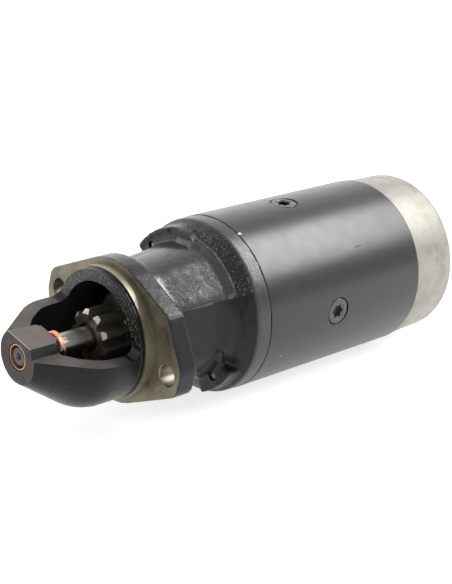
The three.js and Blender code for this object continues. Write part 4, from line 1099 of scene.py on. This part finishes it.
def clutch():
    front_x = PINION_TAIL_X + 1
    shell = lathe("clutch_cup", rounded([
        (CLUTCH_X, 12.9),
        (CLUTCH_X, CLUTCH_R - 2, 1.2),
        (CLUTCH_X + 2, CLUTCH_R, 1.2),
        (CLUTCH_X + 8, CLUTCH_R),
        (CLUTCH_X + 8.4, CLUTCH_R - 0.5),
        (CLUTCH_X + 9.2, CLUTCH_R - 0.5),
        (CLUTCH_X + 9.6, CLUTCH_R),
        (CLUTCH_REAR_X, CLUTCH_R, 0.8),
        (CLUTCH_REAR_X, SPLINE_R + GAP + 1),
        (front_x, SPLINE_R + GAP + 1),
        (front_x, CLUTCH_R - 3.5),
        (CLUTCH_X + 3, CLUTCH_R - 3.5),
        (CLUTCH_X + 3, 12.9),
    ], 4, True), 128, closed=True)
    place(paint(shell, "dark_steel"), "drive", "dark_steel", "clutch_shell")


# ---------------------------------------------------------------- yoke, screws and rear cover
SCREW_X = 141.9
SCREW_HEAD_R = 8.7
SCREW_R = 3.9
SCREW_SINK = 0.42  # of the heads below the paint
SOCKET_R = 4.7


def yoke_tube():
    inner, edge = YOKE_BORE_R, 0.35
    shell = lathe("yoke_shell", [
        (YOKE_X + 0.5, inner), (YOKE_X, inner + 0.5), (YOKE_X, YOKE_R - edge), (YOKE_X + edge, YOKE_R),
        (YOKE_REAR_X - edge, YOKE_R), (YOKE_REAR_X, YOKE_R - edge), (YOKE_REAR_X, inner + 0.5),
        (YOKE_REAR_X - 0.5, inner),
    ], 256, closed=True)
    hole_r, seat_r = SCREW_R + GAP, SCREW_HEAD_R + 0.7
    sink = [(inner - 9, 0), (inner - 9, hole_r), (YOKE_R - 1 - (SCREW_HEAD_R - SCREW_R), hole_r),
            (YOKE_R - 1.4, seat_r), (YOKE_R + 3, seat_r), (YOKE_R + 3, 0)]
    cutters = [radial(lathe("sink", sink, 72), SCREW_X, angle) for angle in POLE_ANGLES]
    cutters.append(radial(rod("grommet_hole", inner - 4, YOKE_R + 4, 6.0, 48), GROMMET_X, SOLENOID_ANGLE))
    cut(shell, *cutters)
    shade(shell, 25)
    place(paint(shell, "yoke"), "motor", "paint_black", "yoke")


def six_lobe(name, x0, x1, radius):
    """The socket of a six-lobe screw."""
    outline = []
    for k in range(72):
        a = 2 * math.pi * k / 72
        r = radius * (0.87 + 0.13 * math.cos(6 * a))
        outline.append((r * math.sin(a), r * math.cos(a)))
    return along(name, x0, x1, outline)


def pole_screws():
    top, head_r = YOKE_R - SCREW_SINK, SCREW_HEAD_R - 0.1
    profile = rounded([
        (YOKE_BORE_R - 7, 0), (YOKE_BORE_R - 7, SCREW_R),
        (YOKE_R - 1.2 - (SCREW_HEAD_R - SCREW_R), SCREW_R), (YOKE_R - 1.6, head_r),
        (top, head_r, 0.6), (top, SCREW_R + 1.6, 0.2),
        (top - 0.4, SCREW_R + 1.1), (top - 0.4, 0)], 3)

    def rule(c, n):
        return "socket" if math.hypot(c.y, c.z) < SOCKET_R + 0.2 and c.x < top - 0.45 else "screw"

    for index, angle in enumerate(POLE_ANGLES):
        screw = lathe(f"pole_screw_head_{index + 1}", profile, 72)
        cut(screw, six_lobe("socket", top - 4, top + 2, SOCKET_R))
        shade(screw, 30)
        paint(screw, "screw", "socket")
        paint_faces(screw, rule)
        radial(screw, SCREW_X, angle)
        place(screw, "motor", "dark_steel", f"pole_screw_{index + 1}")


def rear_cover():
    hub_x = span("rear_bush")[0].x - 0.5
    hub_r = span("rear_bush")[1].z + GAP
    wall, back_r = 4.5, 55.8
    lip_r = span("rear_cover")[1].z
    cover = lathe("rear_cover_shell", rounded([
        (COVER_X, YOKE_BORE_R + 1.5),
        (COVER_X, lip_r - 0.4),
        (COVER_X + 0.4, lip_r),
        (COVER_X + 2.5, lip_r, 0.3),
        (COVER_X + 2.9, lip_r - 0.8, 0.3),
        (COVER_X + 3.6, lip_r - 0.6, 0.3),
        (COVER_REAR_X, back_r, 5.0),
        (COVER_REAR_X, 42, 1.5),
        (COVER_REAR_X - 1.2, 39, 1.5),
        (COVER_REAR_X - 1.2, 24, 1.5),
        (COVER_REAR_X, 21, 1.5),
        (COVER_REAR_X, hub_r + 0.5),
        (COVER_REAR_X - 0.5, hub_r),
        (hub_x, hub_r),
        (hub_x, hub_r + 5, 1.0),
        (COVER_REAR_X - wall - 1.2, hub_r + 6, 2.0),
        (COVER_REAR_X - wall - 1.2, back_r - wall - 4, 2.0),
        (COVER_REAR_X - wall - 5, YOKE_BORE_R + 1.5, 2.0),
    ], 8, True), 224, closed=True)
    cut(cover, *[bolt_hole(COVER_REAR_X - 12, COVER_REAR_X + THROUGH, a) for a in LUG_ANGLES])
    shade(cover, 30)
    place(paint(cover, "alloy"), "motor", "cast_alloy", "rear_cover")

    x0, x1 = (corner.x for corner in span("rear_bush"))
    bush = tube("rear_bush_ring", x0, x1, JOURNAL_R + GAP, hub_r - GAP, 64, 0.3)
    place(paint(bush, "bronze"), "motor", "bronze", "rear_bush")

    low, high = span("shaft_end_cap")
    rim_x, rim_r = low.x + 1.5, high.z - 0.2
    cap = lathe("end_cap_pressing", rounded([
        (low.x, 0), (low.x, rim_r, 0.3), (rim_x, rim_r, 0.8), (rim_x, high.z - 5, 1.2),
        (high.x, high.z - 6.5, 1.4), (high.x, 4, 1.5), (high.x - 0.6, 2), (high.x - 0.6, 0)], 5), 96)
    place(paint(cap, "plated"), "motor", "plated", "shaft_end_cap")


# ---------------------------------------------------------------- fasteners
def thread(x0, x1, radius, pitch=1.25):
    """The profile of a threaded rod, as rings."""
    depth = 0.5 * pitch
    count = max(1, int((x1 - x0) / pitch))
    step = (x1 - x0) / count
    profile = []
    for k in range(count):
        profile += [(x0 + k * step, radius - depth), (x0 + (k + 0.5) * step, radius)]
    return profile + [(x1, radius - depth)]


def hexagon(name, x0, x1, flats, chamfer=0.9):
    """A hexagon with its corners turned off on both faces."""
    corner = flats / math.sqrt(3)
    prism = along(name, x0, x1, [polar(corner, 60 * k) for k in range(6)])
    lens = lathe("turned", [
        (x0, 0), (x0, flats / 2 - 0.1), (x0 + chamfer, corner + 0.1), (x1 - chamfer, corner + 0.1),
        (x1, flats / 2 - 0.1), (x1, 0)], 72)
    keep_common(prism, lens)
    shade(prism, 20)
    return prism


def through_bolts():
    tip_x, head_x = LUG_FRONT_X + 1.2, COVER_REAR_X + GAP
    profile = [(tip_x, 0), (tip_x, BOLT_R - 0.9)]
    profile += thread(tip_x + 0.6, LUG_FRONT_X + 16, BOLT_R, 1.0)
    profile += [(LUG_FRONT_X + 16.4, BOLT_R - 0.2), (head_x + 1, BOLT_R - 0.2), (head_x + 1, 0)]
    for index, angle in enumerate(LUG_ANGLES):
        shank = lathe(f"through_bolt_{index + 1}_detail", profile, 32)
        washer = rod("washer", head_x, head_x + 1.0, 5.6, 48, 0.2)
        head = hexagon("head", head_x + 0.9, head_x + 4.6, 9.4, 0.8)
        join(shank, washer, head)
        shade(shank, 25)
        paint(shank, "plated", "dark_steel")
        paint_faces(shank, lambda c, n: "dark_steel" if c.x < HOUSING_REAR_X else "plated")
        turn(move(shank, z=BOLT_CIRCLE_R), angle)
        place(shank, "motor", "plated", f"through_bolt_{index + 1}")


# ---------------------------------------------------------------- solenoid
def solenoid_shell():
    wall = 2.5
    case_r = SOLENOID_R - 0.06
    case = lathe("solenoid_can", rounded([
        (SOLENOID_X, 11.5),
        (SOLENOID_X, case_r, 0.8),
        (SOLENOID_REAR_X - 4, case_r, 0.6),
        (SOLENOID_REAR_X - 3.4, case_r - 0.7, 0.4),
        (SOLENOID_REAR_X - 2.4, case_r - 0.7, 0.4),
        (SOLENOID_REAR_X - 1.8, case_r, 0.5),
        (SOLENOID_REAR_X, case_r - 0.2, 0.9),
        (SOLENOID_REAR_X, SOLENOID_R - wall),
        (SOLENOID_X + 4, SOLENOID_R - wall),
        (SOLENOID_X + 4, 11.5),
    ], 5, True), 144, closed=True)
    for side in (-1, 1):
        hole = rod("screw_hole", SOLENOID_X - 1, SOLENOID_X + 6, 3.3, 32)
        cut(case, move(hole, y=side * SEAT_SCREW_OFFSET))
    shade(case, 30)
    place(on_solenoid(paint(case, "plated")), "motor", "plated", "solenoid_case")


def terminal_cap():
    radius = SOLENOID_R - 1.5
    cap = lathe("terminal_moulding", rounded([
        (CAP_X + 7.5, 0), (CAP_X + 7.5, 20.5), (CAP_X, 20.5), (CAP_X, radius, 0.5),
        (CAP_X + 7.5, radius, 0.8), (CAP_X + 9, radius - 1.6, 0.8),
        (CAP_X + 12, radius - 2.6, 2.0), (CAP_REAR_X, radius - 4.6, 1.5),
        (CAP_REAR_X, 0)], 5), 128)
    studs = (
        (0, STUD_OFFSET, 8.2, STUD_R),
        (0, -STUD_OFFSET, 8.2, STUD_R),
        (SWITCH_OFFSET, 0, 4.6, SWITCH_R),
    )
    pads = []
    for y, z, pad_r, _ in studs:
        pads.append(move(rod("pad", CAP_REAR_X - 3, CAP_REAR_X - 0.02, pad_r, 48), y=y, z=z))
    wall = block("barrier", CAP_X + 10, CAP_REAR_X - 0.05, -15, 12, -1.2, 1.2)
    join(cap, *pads, wall)
    for y, z, _, stud_r in studs:
        cut(cap, move(rod("stud_hole", CAP_X, CAP_REAR_X + 4, stud_r + GAP, 40), y=y, z=z))
    shade(cap, 30)
    place(on_solenoid(paint(cap, "bakelite")), "motor", "bakelite", "terminal_cap")


def terminals():
    for name, offset in (("battery", STUD_OFFSET), ("motor", -STUD_OFFSET)):
        post_name, nut_name = name + "_terminal", name + "_nut"
        x0, x1 = (corner.x for corner in span(post_name))
        profile = [(x0, 0), (x0, 5.5), (x0 + 2.2, 5.5), (x0 + 2.2, 3.9)]
        profile += thread(CAP_REAR_X - 2, x1 - 0.8, STUD_R) + [(x1, 3.0), (x1, 0)]
        post = lathe(post_name + "_stud", profile, 48)
        place(on_solenoid(paint(post, "plated"), SOLENOID_D + offset), "motor", "steel", post_name)
        x0, x1 = (corner.x for corner in span(nut_name))
        nut = hexagon(nut_name + "_hex", x0, x1, NUT_FLATS, 0.9)
        cut(nut, rod("nut_bore", x0 - 1, x1 + 1, STUD_R + 0.25, 48))
        shade(nut, 20)
        place(on_solenoid(paint(nut, "plated"), SOLENOID_D + offset), "motor", "plated", nut_name)
    x0, x1 = (corner.x for corner in span("switch_terminal"))
    profile = [(x0, 0), (x0, SWITCH_R), (CAP_REAR_X + 1, SWITCH_R)]
    profile += thread(CAP_REAR_X + 1.2, x1 - 0.6, SWITCH_R, 0.8) + [(x1, 1.6), (x1, 0)]
    pin = lathe("switch_terminal_pin", profile, 32)
    on_solenoid(move(paint(pin, "plated"), y=SWITCH_OFFSET))
    place(pin, "motor", "plated", "switch_terminal")


def solenoid_screws():
    for index, side in enumerate((-1, 1)):
        head_x = HOUSING_REAR_X - SEAT_THICKNESS - GAP
        screw = rod(f"solenoid_screw_{index + 1}_detail", head_x - 4, head_x, 4.4, 48, 0.5)
        join(screw, rod("shank", head_x - 1, SOLENOID_X + 3, 3.0, 32))
        cut(screw, six_lobe("socket", head_x - 6, head_x - 1.6, 2.4))
        shade(screw, 30)
        on_solenoid(move(paint(screw, "plated"), y=side * SEAT_SCREW_OFFSET))
        place(screw, "motor", "plated", f"solenoid_screw_{index + 1}")


def return_spring():
    """The plunger's return spring, made at one length; the real spring shortens as the plunger is pulled
    in.
    """
    low, high = span("plunger_return_spring")
    wire_r, radius, turns, steps = 0.8, PLUNGER_R + 1.7, 4.5, 32
    dead = 0.7  # turns at each end that lie flat
    start_x, end_x = low.x + wire_r + 0.1, high.x - wire_r - 0.1
    path = []
    for k in range(int(turns * steps) + 1):
        turned = k / steps
        share = min(1.0, max(0.0, (turned - dead) / (turns - 2 * dead)))
        path.append(Vector((start_x + (end_x - start_x) * share, *polar(radius, 360 * turned))))
    coil = on_solenoid(paint(sweep("return_spring", path, wire_r, 10, (1, 0, 0)), "plated"))
    place(coil, "motor", "steel", "plunger_return_spring")
    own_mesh(coil)


def pivot_pin():
    pin = rod("pivot_pin_turned", -15, 15, 4.0, 48, 0.5)
    head = lathe("head", rounded([(14 + GAP, 0), (14 + GAP, 6, 0.3), (17, 6, 1.0), (17, 0)], 4), 64)
    join(pin, head)
    shade(pin, 30)
    pin.data.transform(Matrix.Rotation(math.pi / 2, 4, "Z"))
    turn(move(paint(pin, "plated"), x=PIVOT_X, z=PIVOT_DISTANCE), SOLENOID_ANGLE)
    place(pin, "motor", "steel", "lever_pivot_pin")


# ---------------------------------------------------------------- motor lead
def curve_through(points, steps):
    """Points on a smooth curve through the given ones."""
    made = []
    for i in range(len(points) - 1):
        p0, p1 = points[max(0, i - 1)], points[i]
        p2, p3 = points[i + 1], points[min(len(points) - 1, i + 2)]
        for k in range(steps):
            t = k / steps
            made.append(0.5 * ((2 * p1) + (p2 - p0) * t + (2 * p0 - 5 * p1 + 4 * p2 - p3) * t * t
                               + (3 * p1 - p0 - 3 * p2 + p3) * t ** 3))
    return made + [points[-1]]


def motor_lead():
    eye_x = span("motor_nut")[1].x + GAP
    stud_d = SOLENOID_D - STUD_OFFSET
    route = [
        Vector((eye_x + 1, 0, stud_d - 6)), Vector((eye_x + 5, 0, stud_d - 10)),
        Vector((eye_x + 12, 0, YOKE_R + 6.5)), Vector((GROMMET_X - 5, 0, YOKE_R + 7)),
        Vector((GROMMET_X - 0.4, 0, YOKE_R + 4.5)), Vector((GROMMET_X, 0, YOKE_R + 1)),
        Vector((GROMMET_X, 0, YOKE_BORE_R + 2)), Vector((GROMMET_X, 0, YOKE_BORE_R - 4)),
    ]
    lead = sweep("motor_lead_braid", curve_through(route, 8), 2.5)
    eye = move(tube("eye", eye_x, eye_x + 2, 4.3, 7.9, 48, 0.2), z=stud_d)
    barrel = block("barrel", eye_x, eye_x + 2, -3, 3, stud_d - 11, stud_d - 6)
    join(lead, eye, barrel)
    shade(lead, 40)
    turn(paint(lead, "braid"), SOLENOID_ANGLE)
    place(lead, "motor", "copper", "motor_lead")
    grommet = lathe("lead_grommet_ring", rounded([
        (YOKE_BORE_R - 1, 3.2), (YOKE_BORE_R - 1, 5.6), (YOKE_R + GAP, 5.6), (YOKE_R + GAP, 8.0, 0.6),
        (YOKE_R + 2, 7.4, 0.8), (YOKE_R + 2, 3.2, 0.5)], 4, True), 64, closed=True)
    radial(paint(grommet, "rubber"), GROMMET_X, SOLENOID_ANGLE)
    place(grommet, "motor", "rubber", "lead_grommet")


# ---------------------------------------------------------------- CAD nodes that stay
SLOT_FINISH = {
    "cast_black": "cast_fine", "paint_black": "yoke", "cast_alloy": "alloy", "steel": "steel",
    "dark_steel": "dark_steel", "plated": "plated", "bronze": "bronze", "copper": "winding",
    "carbon": "carbon", "bakelite": "bakelite", "rubber": "rubber",
}
BEVELLED = ("shift_lever", "solenoid_plunger", "guide_ring", "drive_sleeve")


def finish_cad_nodes():
    """Gives every CAD node its slot's finish, and the plain visible ones a small bevel."""
    for entry in frame["record"]["subparts"]:
        paint(frame["nodes"][entry["node"]], SLOT_FINISH[entry["material_slot"]])
    for node in BEVELLED:
        step = frame["nodes"][node].modifiers.new("edge", "BEVEL")
        step.width = 0.4 * MM
        step.segments = 2
        step.limit_method = "ANGLE"
        step.angle_limit = math.radians(35)


# ---------------------------------------------------------------- floor, light and camera
CAMERA_PLACE = (-0.5049, -0.6490, 0.2876)
CAMERA_AIM = (0.64662, 0.69889, -0.30566)
CAMERA_LENS = 87.76
FLOOR_GLOW = 0.75  # a light table's, which softens the shadow


def studio():
    floor = bpy.data.meshes.new("floor")
    reach = 6.0
    floor.from_pydata([(-reach, -reach, FLOOR_Z), (reach, -reach, FLOOR_Z), (reach, reach, FLOOR_Z),
                       (-reach, reach, FLOOR_Z)], [], [(0, 1, 2, 3)])
    floor_piece = bpy.data.objects.new("floor", floor)
    bpy.context.scene.collection.objects.link(floor_piece)
    shade_of = Finish("floor_white", (0.5, 0.5, 0.498), 0.8)
    shade_of.shader.inputs["Emission Color"].default_value = (1, 1, 1, 1)
    shade_of.shader.inputs["Emission Strength"].default_value = FLOOR_GLOW
    floor.materials.append(shade_of.material)

    world = bpy.data.worlds.new("studio")
    world.use_nodes = True
    world.node_tree.nodes["Background"].inputs["Color"].default_value = (1, 1, 1, 1)
    tree = world.node_tree
    toward = tree.nodes.new("ShaderNodeTexCoord").outputs["Generated"]
    parts = tree.nodes.new("ShaderNodeSeparateXYZ")
    tree.links.new(toward, parts.inputs[0])
    wall = tree.nodes.new("ShaderNodeMapRange")  # the wall behind is lit more than the rest
    wall.inputs["From Min"].default_value, wall.inputs["From Max"].default_value = 0.25, 0.7
    wall.inputs["To Min"].default_value, wall.inputs["To Max"].default_value = 0.75, 1.9
    tree.links.new(parts.outputs["Y"], wall.inputs["Value"])
    tree.links.new(wall.outputs["Result"], tree.nodes["Background"].inputs["Strength"])
    bpy.context.scene.world = world

    lamp = bpy.data.lights.new("softbox", "AREA")
    lamp.shape = "RECTANGLE"
    lamp.size, lamp.size_y = 0.9, 0.48
    lamp.energy = 20
    box = bpy.data.objects.new("softbox", lamp)
    box.location = (0.86, -0.40, 0.74)
    box.rotation_euler = Vector((0, -0.43, 0.9)).to_track_quat("Z", "X").to_euler()
    bpy.context.scene.collection.objects.link(box)

    camera = bpy.data.cameras.new("camera")
    camera.lens = CAMERA_LENS
    camera.sensor_width = 36
    camera.clip_end = 50
    eye = bpy.data.objects.new("camera", camera)
    eye.location = CAMERA_PLACE
    eye.rotation_euler = Vector(CAMERA_AIM).to_track_quat("-Z", "Y").to_euler()
    bpy.context.scene.collection.objects.link(eye)
    bpy.context.scene.camera = eye
    bpy.context.scene.view_settings.view_transform = "Standard"


finish_cad_nodes()
drive_end_housing()
nose_parts()
armature_shaft()
pinion_gear()
clutch()
yoke_tube()
pole_screws()
rear_cover()
through_bolts()
solenoid_shell()
terminal_cap()
terminals()
solenoid_screws()
return_spring()
pivot_pin()
motor_lead()
studio()
